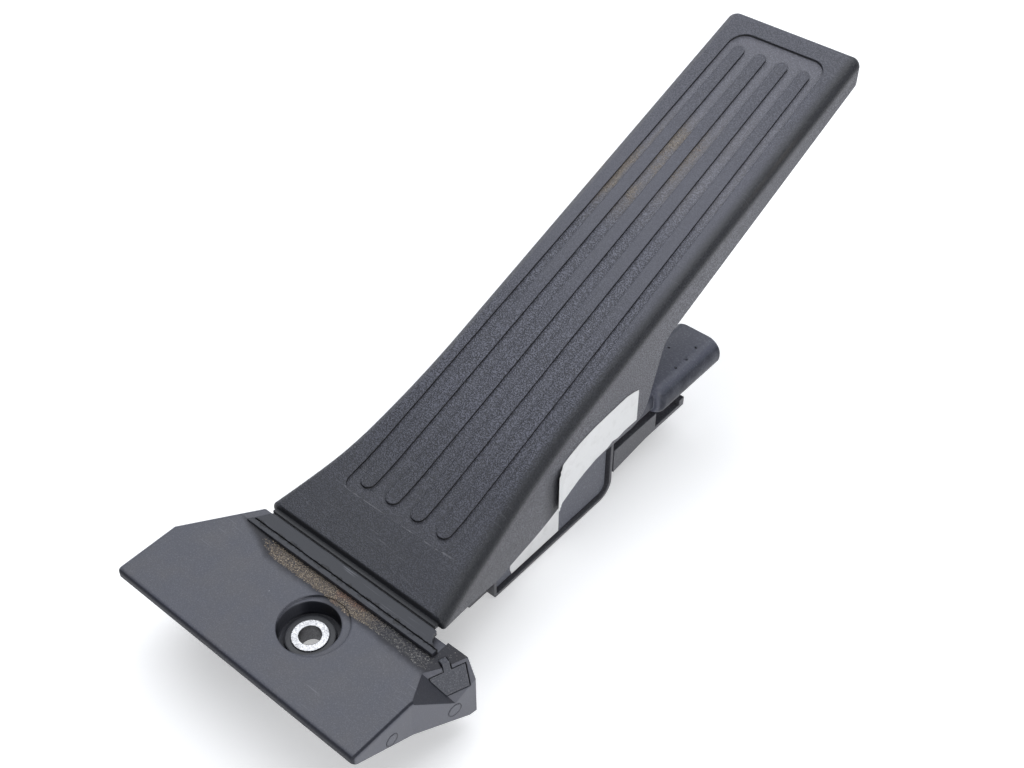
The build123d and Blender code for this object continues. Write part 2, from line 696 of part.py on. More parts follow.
def make_ring():
    """An open retaining ring that snaps into the shaft's groove."""
    bore = SHAFT_D / 2 - RING_GROOVE + FIT_GAP
    ring = rod_x(PIVOT, RING_D / 2, ring_span()) - rod_x(PIVOT, bore, ring_span())
    mouth = block(ring_span(), (PIVOT[0] - bore, PIVOT[0] + bore), (PIVOT[1] - RING_D, PIVOT[1]))
    return ring - mouth


def lever_x():
    return (PAD_X - LEVER_WIDTH / 2, PAD_X + LEVER_WIDTH / 2)


def hub_x():
    return (HOUSING_X[0] + HOUSING_WALL + HUB_END_GAP, PARTITION_X[0] - HUB_END_GAP - MAGNET_THICK)


def nose_point():
    """The middle of the lever's nose, so that its shoe lies just below the pad's track."""
    drop = PAD_WALL + TRACK_RISE + FACE_GAP + SHOE_R
    place = BEND + ALONG_TREAD * SHOE_RUN + UNDER_TREAD * drop
    return (place.X, place.Y)


def elbow_point():
    """The middle of the bend between the lever's beam and its arm."""
    return (ELBOW_Y, (BEAM_Z[0] + BEAM_Z[1]) / 2)


def lever_side():
    """The lever's side outline: beam, gusset to the hub, arm up to the nose and the lug of the rest stop."""
    beam = outline([
        (PIVOT[0], BEAM_Z[0]),
        (BEAM_END_Y, BEAM_Z[0]),
        (BEAM_END_Y, BEAM_Z[1]),
        (PIVOT[0], BEAM_Z[1]),
    ], (0, BEAM_END_R, 0, BEAM_HUB_R))
    gusset = outline([
        (PIVOT[0], PIVOT[1] - HUB_R + GUSSET_SINK),
        (PIVOT[0] + GUSSET_RUN, BEAM_Z[0] + GUSSET_SINK),
        (PIVOT[0], BEAM_Z[0] + GUSSET_SINK),
    ])
    elbow = Pos(*elbow_point()) * Circle((BEAM_Z[1] - BEAM_Z[0]) / 2)
    nose = Pos(*nose_point()) * Circle(NOSE_R)
    lug = outline([
        (HEEL_LUG_Y[0], HEEL_LUG_Z[0]),
        (HEEL_LUG_Y[1], HEEL_LUG_Z[0]),
        (HEEL_LUG_Y[1], HEEL_LUG_Z[1]),
        (HEEL_LUG_Y[0], HEEL_LUG_Z[1]),
    ], (HEEL_LUG_R[0], 0, 0, HEEL_LUG_R[1]))
    return beam + gusset + make_hull(elbow.edges() + nose.edges()) + lug


def make_lever():
    body = side_body(lever_side(), lever_x())
    body += rod_x(PIVOT, HUB_R, hub_x())
    pocket_y = (PIVOT[0] + HUB_R + POCKET_HUB_GAP, SPRING_AT[1] - SEAT_STEM_D)
    pocket_z = (BEAM_Z[0] + POCKET_WALL, BEAM_Z[1] - POCKET_WALL)
    for x in (lever_x()[0], lever_x()[1] - POCKET_DEPTH):
        body -= block((x, x + POCKET_DEPTH), pocket_y, pocket_z)
    body -= rod_z(SPRING_AT, SEAT_STEM_D / 2 + FIT_GAP, (PIVOT[1], BEAM_Z[0] + SEAT_STEM + FIT_GAP))
    return body - rod_x(PIVOT, SHAFT_D / 2 + RUN_GAP, (-FAR, FAR))


def make_shoe():
    """A cap that snaps over the lever's nose, open towards the arm."""
    nose = nose_point()
    arm = (Vector(*nose) - Vector(*elbow_point())).normalized()
    span = (lever_x()[0] + SHOE_INSET, lever_x()[1] - SHOE_INSET)
    cap = rod_x(nose, SHOE_R, span) - rod_x(nose, NOSE_R + 2 * RUN_GAP, span)
    low = Plane(origin=(PAD_X, *nose), x_dir=(1, 0, 0), z_dir=(0, -arm.X, -arm.Y))
    return cap - low * Pos(0, 0, SHOE_R) * Box(FAR, FAR, 2 * SHOE_R)


def make_seat():
    top = BEAM_Z[0]
    disc = rod_z(SPRING_AT, SEAT_D / 2, (top - SPRING_SEAT, top))
    guide = rod_z(SPRING_AT, INNER_SPRING[0] / 2 - INNER_SPRING[1] - FACE_GAP, (top - 2 * SPRING_SEAT, top))
    return disc + guide + rod_z(SPRING_AT, SEAT_STEM_D / 2, (top, top + SEAT_STEM))


def make_spring(sizes):
    """A coil spring between the housing's floor and the seat."""
    outside, wire, turns = sizes
    low = FLOOR_Z + HOUSING_WALL + wire / 2
    high = BEAM_Z[0] - SPRING_SEAT - wire / 2
    radius = (outside - wire) / 2
    count = round(turns * SPRING_RUNS)
    points = []
    for index in range(count + 1):
        turn = 2 * math.pi * index / SPRING_RUNS
        place = Vector(*SPRING_AT, low) + Vector(math.cos(turn), math.sin(turn), 0) * radius
        points.append(place + Vector(0, 0, (high - low) * index / count))
    path = Polyline(*points)
    section = Plane(origin=points[0], z_dir=path % 0) * RegularPolygon(wire / 2, SPRING_SIDES)
    return sweep(section, path=path, transition=Transition.RIGHT)


def make_friction_shoe():
    floor_z = FLOOR_Z + HOUSING_WALL
    saddle_y = (PIVOT[0] - FRICTION_HALF, PIVOT[0] + FRICTION_HALF)
    saddle = block(FRICTION_X, saddle_y, (floor_z, PIVOT[1] - HUB_R / 2))
    return saddle - rod_x(PIVOT, HUB_R + FACE_GAP, (-FAR, FAR))


def make_bumper(at, radius, top_z):
    """A rubber stop on the housing's floor with a rounded head."""
    bumper = rod_z(at, radius, (FLOOR_Z + HOUSING_WALL, top_z))
    return fillet(bumper.faces().sort_by(Axis.Z)[-1].edges(), radius / 2)


def make_magnet():
    start = hub_x()[1]
    span = (start, start + MAGNET_THICK)
    return rod_x(PIVOT, MAGNET_D / 2, span) - rod_x(PIVOT, MAGNET_BORE / 2, span)


def stand_places():
    """The three posts that carry the sensor board; the chips take the fourth corner."""
    front, rear = BOARD_Y[0] + 2 * STAND_R, BOARD_Y[1] - 2 * STAND_R
    low, high = BOARD_Z[0] + 2 * STAND_R, BOARD_Z[1] - 2 * STAND_R
    return [(front, low), (rear, low), (rear, high)]


def board_face_x():
    return PARTITION_X[1] + BOARD_STAND


def make_board():
    return block((board_face_x(), board_face_x() + BOARD_THICK), BOARD_Y, BOARD_Z)


def make_chips():
    chips = [
        block((board_face_x() - CHIP[2], board_face_x()), (y - CHIP[0] / 2, y + CHIP[0] / 2),
              (CHIP_Z - CHIP[1] / 2, CHIP_Z + CHIP[1] / 2))
        for y in CHIP_YS
    ]
    return Compound([chip.solid() for chip in chips])


def make_terminals():
    return Compound([pin.solid() for pin in pin_bars(PIN, PIN_Y)])


NODES = {
    "base": make_base,
    "floor_bolt_bush": lambda: bush((0, 0), 0, FLOOR_BUSH_LENGTH),
    "hinge_strip": make_strip,
    "end_clip": lambda: clip_form(0),
    "base_screws": make_screws,
    "pad": make_pad,
    "housing": make_housing,
    "side_cover": make_cover,
    "connector_shroud": make_shroud,
    "connector_terminals": make_terminals,
    "upper_bolt_bush": lambda: bush(EAR_AT, EAR_Z[0], UPPER_BUSH_LENGTH),
    "pivot_shaft": make_shaft,
    "shaft_ring": make_ring,
    "lever_arm": make_lever,
    "slide_shoe": make_shoe,
    "spring_seat": make_seat,
    "outer_spring": lambda: make_spring(OUTER_SPRING),
    "inner_spring": lambda: make_spring(INNER_SPRING),
    "friction_shoe": make_friction_shoe,
    "full_stop_bumper": lambda: make_bumper(FULL_STOP_AT, BUMPER_R, FULL_STOP_TOP_Z),
    "rest_stop_bumper": lambda: make_bumper((PAD_X, REST_STOP_Y), REST_STOP_R, HEEL_LUG_Z[0] - FACE_GAP),
    "magnet_ring": make_magnet,
    "sensor_board": make_board,
    "hall_chips": make_chips,
}

os.makedirs("parts", exist_ok=True)
for name, make in NODES.items():
    export_step(make(), f"parts/{name}.step")
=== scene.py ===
import math

import bmesh
import bpy
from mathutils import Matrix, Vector


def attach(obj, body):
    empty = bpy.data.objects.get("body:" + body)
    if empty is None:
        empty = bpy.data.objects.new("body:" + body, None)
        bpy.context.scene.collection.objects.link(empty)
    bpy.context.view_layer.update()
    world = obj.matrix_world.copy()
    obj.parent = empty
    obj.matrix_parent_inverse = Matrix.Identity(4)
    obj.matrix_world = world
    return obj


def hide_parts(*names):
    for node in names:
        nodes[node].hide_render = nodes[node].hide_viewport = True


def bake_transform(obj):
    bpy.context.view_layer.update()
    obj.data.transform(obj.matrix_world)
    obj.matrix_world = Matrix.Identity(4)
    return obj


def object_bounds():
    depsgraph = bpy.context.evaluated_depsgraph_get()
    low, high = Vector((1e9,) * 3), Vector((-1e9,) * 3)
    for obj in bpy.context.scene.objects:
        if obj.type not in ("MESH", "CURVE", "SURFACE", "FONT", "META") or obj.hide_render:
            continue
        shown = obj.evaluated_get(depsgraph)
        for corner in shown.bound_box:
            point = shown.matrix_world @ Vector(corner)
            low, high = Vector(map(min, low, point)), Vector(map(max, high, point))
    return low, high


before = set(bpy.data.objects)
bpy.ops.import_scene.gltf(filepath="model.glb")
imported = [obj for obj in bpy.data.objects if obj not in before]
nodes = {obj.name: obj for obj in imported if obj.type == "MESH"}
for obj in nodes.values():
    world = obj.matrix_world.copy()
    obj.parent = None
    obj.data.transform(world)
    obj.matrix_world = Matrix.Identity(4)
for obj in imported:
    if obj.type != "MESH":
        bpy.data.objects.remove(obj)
cad_low, cad_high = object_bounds()

MM = 0.001

# Sizes taken over from the part, in millimetres
PAD_X = -6.0
HINGE_Y = 22.5
HINGE_Z = 10.6
BEND_Y = 52.02
BEND_Z = 18.89
HEEL_SLOPE = 11.6
TREAD_SLOPE = 20.4
BEND_ROUND = 2.12
SPRING_AT = (-8.0, 97.5)
SPRING_FLOOR_Z = -19.0
SPRING_TOP_Z = 5.0
PAD_HALF = 27.0
FLARE_Y = 102.5
FLARE_RATE = 10.6 / 85.0 ** 2
TOE_TAPER = 0.8 / 145.7
HEEL_LINE_Y = 41.2
DUST_LEAN = 0.35
BAND_Y = 9.6
BAND_LEFT_X = -28.0
BAND_END_SLOPE = 0.38
GROOVE_Y = 17.3
WEB_X = (-38.8, 27.5)
COVER_FACE_X = 15.9
COVER_LABEL_Y = (69.3, 93.8)
COVER_LABEL_Z = (-18.8, -4.0)
SCREW_XS = (-14.0, 4.0)
SCREW_Y = 17.0
SCREW_HEAD_Z = -13.2
SCREW_HEAD = 2.4
SCREW_HEAD_R = 4.0
SCREW_SHANK_R = 2.0
SCREW_REACH = 14.0
SCREW_SIDES = 24

# Film web: width, thickness, depth of its crease and number of cuts along it
WEB_WIDE = 0.7
WEB_THICK = 0.5
WEB_CREASE = 0.16
WEB_CUTS = 48

# Stickers: thickness, rows of faces, gap to the skirt and a plane outside the skirt
LABEL_THICK = 0.1
LABEL_ROWS = 6
LABEL_GAP = 0.12
LABEL_START_X = 28.0

# Springs: outside diameter, wire and turns
OUTER_SPRING = (19.0, 1.8, 5.5)
INNER_SPRING = (11.6, 1.2, 7.5)
WIRE_SIDES = 14
STEPS_PER_TURN = 40

# Camera solved from the photo: place in metres, turns in degrees, focal length and width in pixels
CAMERA_PLACE = (0.20111, -0.146415, 0.33433)
CAMERA_DOWN = 43.4
CAMERA_TURN = 40.5
FOCAL_PIXELS = 1400.0
PHOTO_PIXELS = 1024.0
SENSOR_WIDTH = 36.0

# Skirt sticker: place along the pad, lower and upper edge
LABEL_STATIONS = (
    (85.0, 3.0, 18.4),
    (86.2, 3.1, 20.0),
    (88.2, 3.7, 21.4),
    (91.2, 4.9, 22.5),
    (93.6, 5.9, 23.1),
    (96.2, 7.0, 23.8),
    (100.0, 8.2, 24.5),
    (105.6, 9.6, 25.2),
    (111.6, 10.0, 25.6),
    (114.2, 11.0, 25.7),
    (117.0, 10.4, 25.9),
    (120.8, 11.0, 26.0),
    (124.4, 10.9, 25.4),
    (127.2, 10.8, 24.4),
)

# Skirt sticker's loose front end: reach along the pad and lift
LABEL_LIFTS = ((0.9, 0.45), (2.0, 0.35), (3.2, 0.20))

# Place, facing and radius of the round marks on the base's right wall
EJECTOR_MARKS = (
    ((42.62, 14.24, -5.86), (0.989, -0.15, 0.0), 2.4),
    ((40.40, -8.32, 3.54), (1.0, 0.0, 0.0), 2.2),
)

# Place and radius of the pips on the plug shroud
SHROUD_PIPS = (
    ((7.56, 164.13, 9.5), 0.5),
    ((14.63, 170.19, 9.5), 0.5),
    ((15.38, 163.29, 9.4), 0.75),
    ((15.30, 157.33, 9.4), 0.5),
)


# Node helpers

def new_node(tree, kind, **settings):
    """A node with its properties set by name."""
    made = tree.nodes.new(kind)
    for name, value in settings.items():
        setattr(made, name, value)
    return made


def feed(tree, socket, value):
    """Links a socket, or sets its value."""
    if isinstance(value, bpy.types.NodeSocket):
        tree.links.new(value, socket)
    else:
        socket.default_value = value


def maths(tree, operation, first, second=0.0, third=None, clamp=False):
    made = new_node(tree, "ShaderNodeMath", operation=operation, use_clamp=clamp)
    feed(tree, made.inputs[0], first)
    feed(tree, made.inputs[1], second)
    if third is not None:
        feed(tree, made.inputs[2], third)
    return made.outputs[0]


def times(tree, first, *others):
    """The product of several values."""
    for other in others:
        first = maths(tree, "MULTIPLY", first, other)
    return first


def spread(tree, value, low, high, to_low=0.0, to_high=1.0, smooth=False):
    """Maps a value's range to another, held at its ends."""
    made = new_node(tree, "ShaderNodeMapRange", clamp=True)
    made.interpolation_type = "SMOOTHSTEP" if smooth else "LINEAR"
    for socket, number in zip(made.inputs, (value, low, high, to_low, to_high)):
        feed(tree, socket, number)
    return made.outputs[0]


def blend_colour(tree, factor, first, second):
    made = new_node(tree, "ShaderNodeMix", data_type="RGBA")
    feed(tree, made.inputs["Factor"], factor)
    feed(tree, made.inputs[6], first)
    feed(tree, made.inputs[7], second)
    return made.outputs[2]


def lay_over(tree, tone, mask, share, over):
    """Lays a colour over a tone where a mask says, at a share of its strength."""
    return blend_colour(tree, times(tree, mask, share), tone, over)


def noise(tree, where, scale, detail=3.0, rough=0.55, distortion=0.0):
    made = new_node(tree, "ShaderNodeTexNoise")
    feed(tree, made.inputs["Vector"], where)
    feed(tree, made.inputs["Scale"], scale)
    feed(tree, made.inputs["Detail"], detail)
    feed(tree, made.inputs["Roughness"], rough)
    feed(tree, made.inputs["Distortion"], distortion)
    return made.outputs["Fac"]


def cells(tree, where, scale, smooth=0.0):
    made = new_node(tree, "ShaderNodeTexVoronoi", feature="SMOOTH_F1" if smooth else "F1")
    feed(tree, made.inputs["Vector"], where)
    feed(tree, made.inputs["Scale"], scale)
    if smooth:
        feed(tree, made.inputs["Smoothness"], smooth)
    return made.outputs["Distance"]


def object_place(tree, stretch=None, turn=None):
    """Object coordinates in metres, turned and stretched where asked."""
    where = new_node(tree, "ShaderNodeTexCoord").outputs["Object"]
    if stretch is None and turn is None:
        return where
    mapping = new_node(tree, "ShaderNodeMapping")
    feed(tree, mapping.inputs["Vector"], where)
    if turn is not None:
        mapping.inputs["Rotation"].default_value = [math.radians(a) for a in turn]
    if stretch is not None:
        mapping.inputs["Scale"].default_value = stretch
    return mapping.outputs["Vector"]


def axis_values(tree, where):
    made = new_node(tree, "ShaderNodeSeparateXYZ")
    feed(tree, made.inputs[0], where)
    return made.outputs


def place_values(tree):
    """The three object coordinates, in metres."""
    return axis_values(tree, object_place(tree))


def facing_values(tree):
    """The three parts of the surface's normal."""
    return axis_values(tree, new_node(tree, "ShaderNodeNewGeometry").outputs["Normal"])


def bolt_radius(tree):
    """Distance from the floor bolt's axis, in metres."""
    x, y, _ = place_values(tree)
    return maths(tree, "SQRT", maths(tree, "ADD", times(tree, x, x), times(tree, y, y)))


def colour(red, green, blue):
    return (red, green, blue, 1.0)


# Shared finishes as node groups

def start_group(name, inputs, outputs):
    """An empty shader group with named sockets; returns the tree, its inputs and its output node."""
    tree = bpy.data.node_groups.new(name, "ShaderNodeTree")
    kinds = {"value": "NodeSocketFloat", "colour": "NodeSocketColor", "vector": "NodeSocketVector"}
    for label, default in inputs.items():
        socket = tree.interface.new_socket(name=label, in_out="INPUT", socket_type=kinds["value"])
        socket.default_value = default
    for label, kind in outputs.items():
        tree.interface.new_socket(name=label, in_out="OUTPUT", socket_type=kinds[kind])
    source = new_node(tree, "NodeGroupInput").outputs
    sink = new_node(tree, "NodeGroupOutput")
    return tree, source, sink


def make_grain_group():
    """Fine moulded-in grain: a height for the bump and a fleck that lightens its peaks."""
    tree, source, sink = start_group(
        "moulded_grain",
        {"Grain per metre": 1900.0, "Fineness": 0.5},
        {"Height": "value", "Fleck": "value"},
    )
    where = object_place(tree)
    pebbles = cells(tree, where, source["Grain per metre"], 0.5)
    fine = noise(tree, where, times(tree, source["Grain per metre"], 0.9), 2.0, 0.65)
    peak = spread(tree, pebbles, 0.12, 0.62, 1.0, 0.0, smooth=True)
    height = maths(tree, "MULTIPLY_ADD", fine, source["Fineness"], times(tree, peak, 0.65))
    speck = times(tree, spread(tree, peak, 0.1, 0.9, 0.25, 1.0), spread(tree, fine, 0.40, 0.66))
    feed(tree, sink.inputs["Height"], height)
    feed(tree, sink.inputs["Fleck"], speck)
    return tree


def make_edge_group():
    """Rubbed edges with painted highlight: the edge mask is where a rounded normal leaves the true one,
    broken up by noise.
    """
    tree, source, sink = start_group(
        "edge_wear_and_painted_highlight",
        {"Width": 0.0006, "Breakup": 0.5},
        {"Edge": "value", "Normal": "vector"},
    )
    rounded = new_node(tree, "ShaderNodeBevel", samples=6)
    feed(tree, rounded.inputs["Radius"], source["Width"])
    geometry = new_node(tree, "ShaderNodeNewGeometry")
    facing = new_node(tree, "ShaderNodeVectorMath", operation="DOT_PRODUCT")
    feed(tree, facing.inputs[0], rounded.outputs["Normal"])
    feed(tree, facing.inputs[1], geometry.outputs["Normal"])
    turned = spread(tree, facing.outputs["Value"], 0.99, 0.80, 0.0, 1.0)
    patches = spread(tree, noise(tree, object_place(tree), 160.0, 4.0, 0.65), 0.36, 0.62)
    kept = maths(tree, "SUBTRACT", 1.0, times(tree, source["Breakup"], patches))
    feed(tree, sink.inputs["Edge"], maths(tree, "MULTIPLY", turned, kept, clamp=True))
    feed(tree, sink.inputs["Normal"], rounded.outputs["Normal"])
    return tree


def make_dust_group():
    """Sandy dust: loose grains of mixed colour where the cover is high, thinning to single specks."""
    tree, source, sink = start_group(
        "sandy_dust",
        {"Cover": 0.0, "Greyness": 0.0, "Grains per metre": 1900.0},
        {"Mask": "value", "Colour": "colour", "Height": "value"},
    )
    where = object_place(tree)
    grains = cells(tree, where, source["Grains per metre"])
    pick = noise(tree, where, times(tree, source["Grains per metre"], 0.6), 2.0, 0.7)
    film = noise(tree, where, 110.0, 4.0, 0.6)
    chance = maths(tree, "ADD", pick, times(tree, maths(tree, "SUBTRACT", film, 0.5), 0.45))
    limit = maths(tree, "SUBTRACT", 0.80, times(tree, source["Cover"], 0.45))
    present = spread(tree, maths(tree, "SUBTRACT", chance, limit), 0.0, 0.05)
    dot = spread(tree, grains, 0.55, 0.25)
    body = maths(tree, "ADD", times(tree, dot, 0.85), 0.15)
    mask = maths(tree, "MULTIPLY", present, body, clamp=True)
    seen = maths(tree, "MULTIPLY", mask, spread(tree, source["Cover"], 0.02, 0.2), clamp=True)
    tint = noise(tree, where, times(tree, source["Grains per metre"], 0.7), 1.0)
    shade = spread(tree, tint, 0.36, 0.64)
    warm = blend_colour(tree, shade, colour(0.20, 0.150, 0.105), colour(0.66, 0.54, 0.41))
    rust = spread(tree, noise(tree, where, 75.0, 2.0), 0.56, 0.68)
    warm = lay_over(tree, warm, rust, 0.8, colour(0.42, 0.22, 0.15))
    grey = blend_colour(tree, shade, colour(0.11, 0.105, 0.10), colour(0.42, 0.41, 0.40))
    feed(tree, sink.inputs["Mask"], seen)
    feed(tree, sink.inputs["Colour"], blend_colour(tree, source["Greyness"], warm, grey))
    feed(tree, sink.inputs["Height"], times(tree, seen, dot))
    return tree


def make_handling_group():
    """Handling marks: broad smears, fine scratches both ways and small pale nicks."""
    tree, source, sink = start_group(
        "handling_marks",
        {"Scratch density": 0.5},
        {"Smear": "value", "Scratch": "value", "Nick": "value"},
    )
    smear = noise(tree, object_place(tree, (1.0, 0.55, 1.0), (0, 0, 32)), 34.0, 5.0, 0.6, 0.4)
    feed(tree, sink.inputs["Smear"], smear)
    lines = None
    for angle, stretch in ((38, (90.0, 1700.0, 300.0)), (-52, (80.0, 1900.0, 300.0))):
        streak = noise(tree, object_place(tree, stretch, (0, 0, angle)), 1.0, 1.0, 0.4)
        hit = spread(tree, streak, 0.70, 0.78)
        lines = hit if lines is None else maths(tree, "MAXIMUM", lines, hit)
    patch = spread(tree, noise(tree, object_place(tree), 42.0, 2.0), 0.48, 0.66)
    scratch = times(tree, lines, patch, source["Scratch density"])
    feed(tree, sink.inputs["Scratch"], scratch)
    nick = spread(tree, cells(tree, object_place(tree), 130.0), 0.034, 0.016)
    feed(tree, sink.inputs["Nick"], nick)
    return tree


GRAIN = make_grain_group()
EDGES = make_edge_group()
DUST = make_dust_group()
HANDLING = make_handling_group()


def use_group(tree, group, **values):
    """Places a shared finish; input names are given with underscores for spaces."""
    made = new_node(tree, "ShaderNodeGroup", node_tree=group)
    for name, value in values.items():
        feed(tree, made.inputs[name.replace("_", " ")], value)
    return made.outputs


def start_material(name, roughness, metallic=0.0, specular=0.5):
    """An empty material with its principled shader."""
    material = bpy.data.materials.new(name)
    material.use_nodes = True
    tree = material.node_tree
    shader = tree.nodes["Principled BSDF"]
    shader.inputs["Roughness"].default_value = roughness
    shader.inputs["Metallic"].default_value = metallic
    shader.inputs["Specular IOR Level"].default_value = specular
    return material, tree, shader


def bump(tree, height, distance, strength=1.0, normal=None):
    made = new_node(tree, "ShaderNodeBump")
    feed(tree, made.inputs["Height"], height)
    made.inputs["Distance"].default_value = distance
    made.inputs["Strength"].default_value = strength
    if normal is not None:
        feed(tree, made.inputs["Normal"], normal)
    return made.outputs["Normal"]


def smeared_tone(tree, marks, dark, light):
    """Two tones mixed by the broad smears."""
    return blend_colour(tree, spread(tree, marks["Smear"], 0.3, 0.7), dark, light)


def smeared_roughness(tree, marks, low, high):
    """A roughness that follows the broad smears."""
    return spread(tree, marks["Smear"], 0.25, 0.75, low, high)


def moulded_plastic(name, dark, light, edge_tone, roughness, grain, edge_width, scratch, painted_shade=None):
    """Moulded plastic, grained or smooth, with rubbed edges that also carry painted highlight, handling
    marks and, where asked, painted shade.
    """
    material, tree, shader = start_material(name, roughness)
    edges = use_group(tree, EDGES, Width=edge_width, Breakup=0.55)
    marks = use_group(tree, HANDLING, Scratch_density=scratch)
    skin = use_group(tree, GRAIN, Grain_per_metre=grain[0], Fineness=0.5)
    tone = smeared_tone(tree, marks, colour(*dark), colour(*light))
    # Flecks, scratches and nicks are the plastic's own marks; the lightened edges are wear and painted
    # highlight.
    shares = ((skin["Fleck"], 0.55), (edges["Edge"], 0.55), (marks["Scratch"], 0.6), (marks["Nick"], 0.35))
    for mark, share in shares:
        tone = lay_over(tree, tone, mark, share, colour(*edge_tone))
    # Painted shade where asked, with less specular there.
    if painted_shade is not None:
        dulling_share = painted_shade(tree)
        tone = lay_over(tree, tone, dulling_share, 0.75, colour(0.012, 0.013, 0.017))
        feed(tree, shader.inputs["Specular IOR Level"], spread(tree, dulling_share, 0.0, 1.0, 0.5, 0.10))
    feed(tree, shader.inputs["Base Color"], tone)
    rough = smeared_roughness(tree, marks, roughness - 0.07, roughness + 0.08)
    feed(tree, shader.inputs["Roughness"], rough)
    feed(tree, shader.inputs["Normal"], bump(tree, skin["Height"], grain[1], 1.0, edges["Normal"]))
    return material


def worked_metal(name, tone, rough_low, rough_high):
    """Turned or plated steel with fine tool marks, dull patches and bright edges."""
    material, tree, shader = start_material(name, rough_low, 1.0)
    edges = use_group(tree, EDGES, Width=0.0003, Breakup=0.3)
    patches = noise(tree, object_place(tree), 220.0, 4.0, 0.6)
    lines = noise(tree, object_place(tree, (0.2, 0.2, 1.0)), 2700.0, 2.0)
    dull, bright = [colour(*[min(1.0, part * share) for part in tone]) for share in (0.72, 1.15)]
    body = blend_colour(tree, spread(tree, patches, 0.35, 0.7), colour(*tone), dull)
    # Brighter edges: wear and painted highlight.
    feed(tree, shader.inputs["Base Color"], lay_over(tree, body, edges["Edge"], 0.5, bright))
    feed(tree, shader.inputs["Roughness"], spread(tree, patches, 0.3, 0.7, rough_low, rough_high))
    feed(tree, shader.inputs["Normal"], bump(tree, lines, 0.00003, 0.6, edges["Normal"]))
    return material


# Where dust, painted shade and painted light lie

def band_place(tree):
    """How far a point lies into the sloped band before the strip, in metres, and its x and y."""
    where = object_place(tree)
    x, y, _ = axis_values(tree, where)
    wander = maths(tree, "SUBTRACT", noise(tree, where, 90.0, 4.0, 0.65), 0.5)
    run_out = maths(tree, "MAXIMUM", maths(tree, "SUBTRACT", BAND_LEFT_X * MM, x), 0.0)
    front = maths(tree, "ADD", BAND_Y * MM, times(tree, run_out, BAND_END_SLOPE))
    into = maths(tree, "SUBTRACT", y, front)
    return maths(tree, "ADD", into, times(tree, wander, 0.0035)), x, y


def painted_band_shade(tree):
    """Painted shade on the sloped band and on the low block behind the clip."""
    into, x, y = band_place(tree)
    band = times(tree, spread(tree, into, -0.0020, 0.0014, smooth=True),
                 spread(tree, y, 0.0160, 0.0156), spread(tree, x, 0.0400, 0.0385))
    return times(tree, maths(tree, "MAXIMUM", band, low_block(tree)), upper_side(tree))


def upper_side(tree):
    """One on the base's top, its band and its low block, nought on the walls."""
    _, _, z = place_values(tree)
    facing = facing_values(tree)[0]
    return times(tree, spread(tree, z, 0.0056, 0.0064), spread(tree, facing, 0.60, 0.45))


def low_block(tree):
    """The low block right of the strip."""
    x, y, _ = place_values(tree)
    return times(tree, spread(tree, x, 0.0330, 0.0337), spread(tree, y, 0.0148, 0.0156))


def band_cover(tree):
    """Sand on the sloped band, thickest left of the middle and thin at its right end."""
    into, x, y = band_place(tree)
    across = times(tree, spread(tree, into, -0.0004, 0.0016, smooth=True), spread(tree, y, 0.0160, 0.0155))
    rise = spread(tree, x, -0.0410, -0.0230, 0.22, 1.0, smooth=True)
    along = times(tree, rise, spread(tree, x, 0.0200, 0.0090, 0.74, 1.0, smooth=True))
    band = times(tree, across, along, spread(tree, x, 0.0390, 0.0345))
    thin = times(tree, spread(tree, x, 0.018, 0.033, smooth=True), spread(tree, y, 0.0020, 0.0095))
    loose = maths(tree, "MAXIMUM", times(tree, low_block(tree), 0.40), times(tree, thin, 0.22))
    return times(tree, maths(tree, "MAXIMUM", band, loose), upper_side(tree))


def painted_pocket_shade(tree):
    """Painted shade on the wall and floor of the bolt pocket."""
    _, _, z = place_values(tree)
    inside = spread(tree, bolt_radius(tree), 0.00945, 0.00930)
    return times(tree, inside, spread(tree, z, 0.0104, 0.0094), spread(tree, z, 0.0066, 0.0048, 1.0, 0.62))


def base_edge_shade_and_light(tree):
    """Painted shade on the rounded right and front edges of the base's top, and painted light on its far
    left rim.
    """
    facing_x, facing_y, _ = facing_values(tree)
    right = times(tree, spread(tree, facing_x, 0.22, 0.42), spread(tree, facing_x, 0.88, 0.74))
    shaded = maths(tree, "MAXIMUM", right, spread(tree, facing_y, -0.42, -0.68))
    return shaded, spread(tree, facing_x, -0.15, -0.40)


def painted_shroud_flank_shade(tree):
    """Painted shade on the plug shroud's right flank, in patches."""
    facing_x, _, facing_z = facing_values(tree)
    flank = times(tree, spread(tree, facing_x, 0.30, 0.75, smooth=True), spread(tree, facing_z, 0.85, 0.55))
    patches = spread(tree, noise(tree, object_place(tree), 130.0, 4.0), 0.30, 0.60, 0.70, 1.0)
    return times(tree, flank, patches)


def tread_drop(tree):
    """Depth below the tread surface in metres: zero on the ribs and the border."""
    _, y, z = place_values(tree)
    depth = []
    for slope in (HEEL_SLOPE, TREAD_SLOPE):
        sine, cosine = math.sin(math.radians(slope)), math.cos(math.radians(slope))
        forward = times(tree, maths(tree, "SUBTRACT", y, BEND_Y * MM), sine)
        upward = times(tree, maths(tree, "SUBTRACT", z, BEND_Z * MM), cosine)
        depth.append(maths(tree, "SUBTRACT", forward, upward))
    return maths(tree, "SMOOTH_MAX", depth[0], depth[1], BEND_ROUND * MM)


def valley_mask(tree, drop):
    """One on the floor between the ribs, nought on their tops and on the skirt."""
    return times(tree, spread(tree, drop, 0.0003, 0.0006), spread(tree, drop, 0.0016, 0.0011))


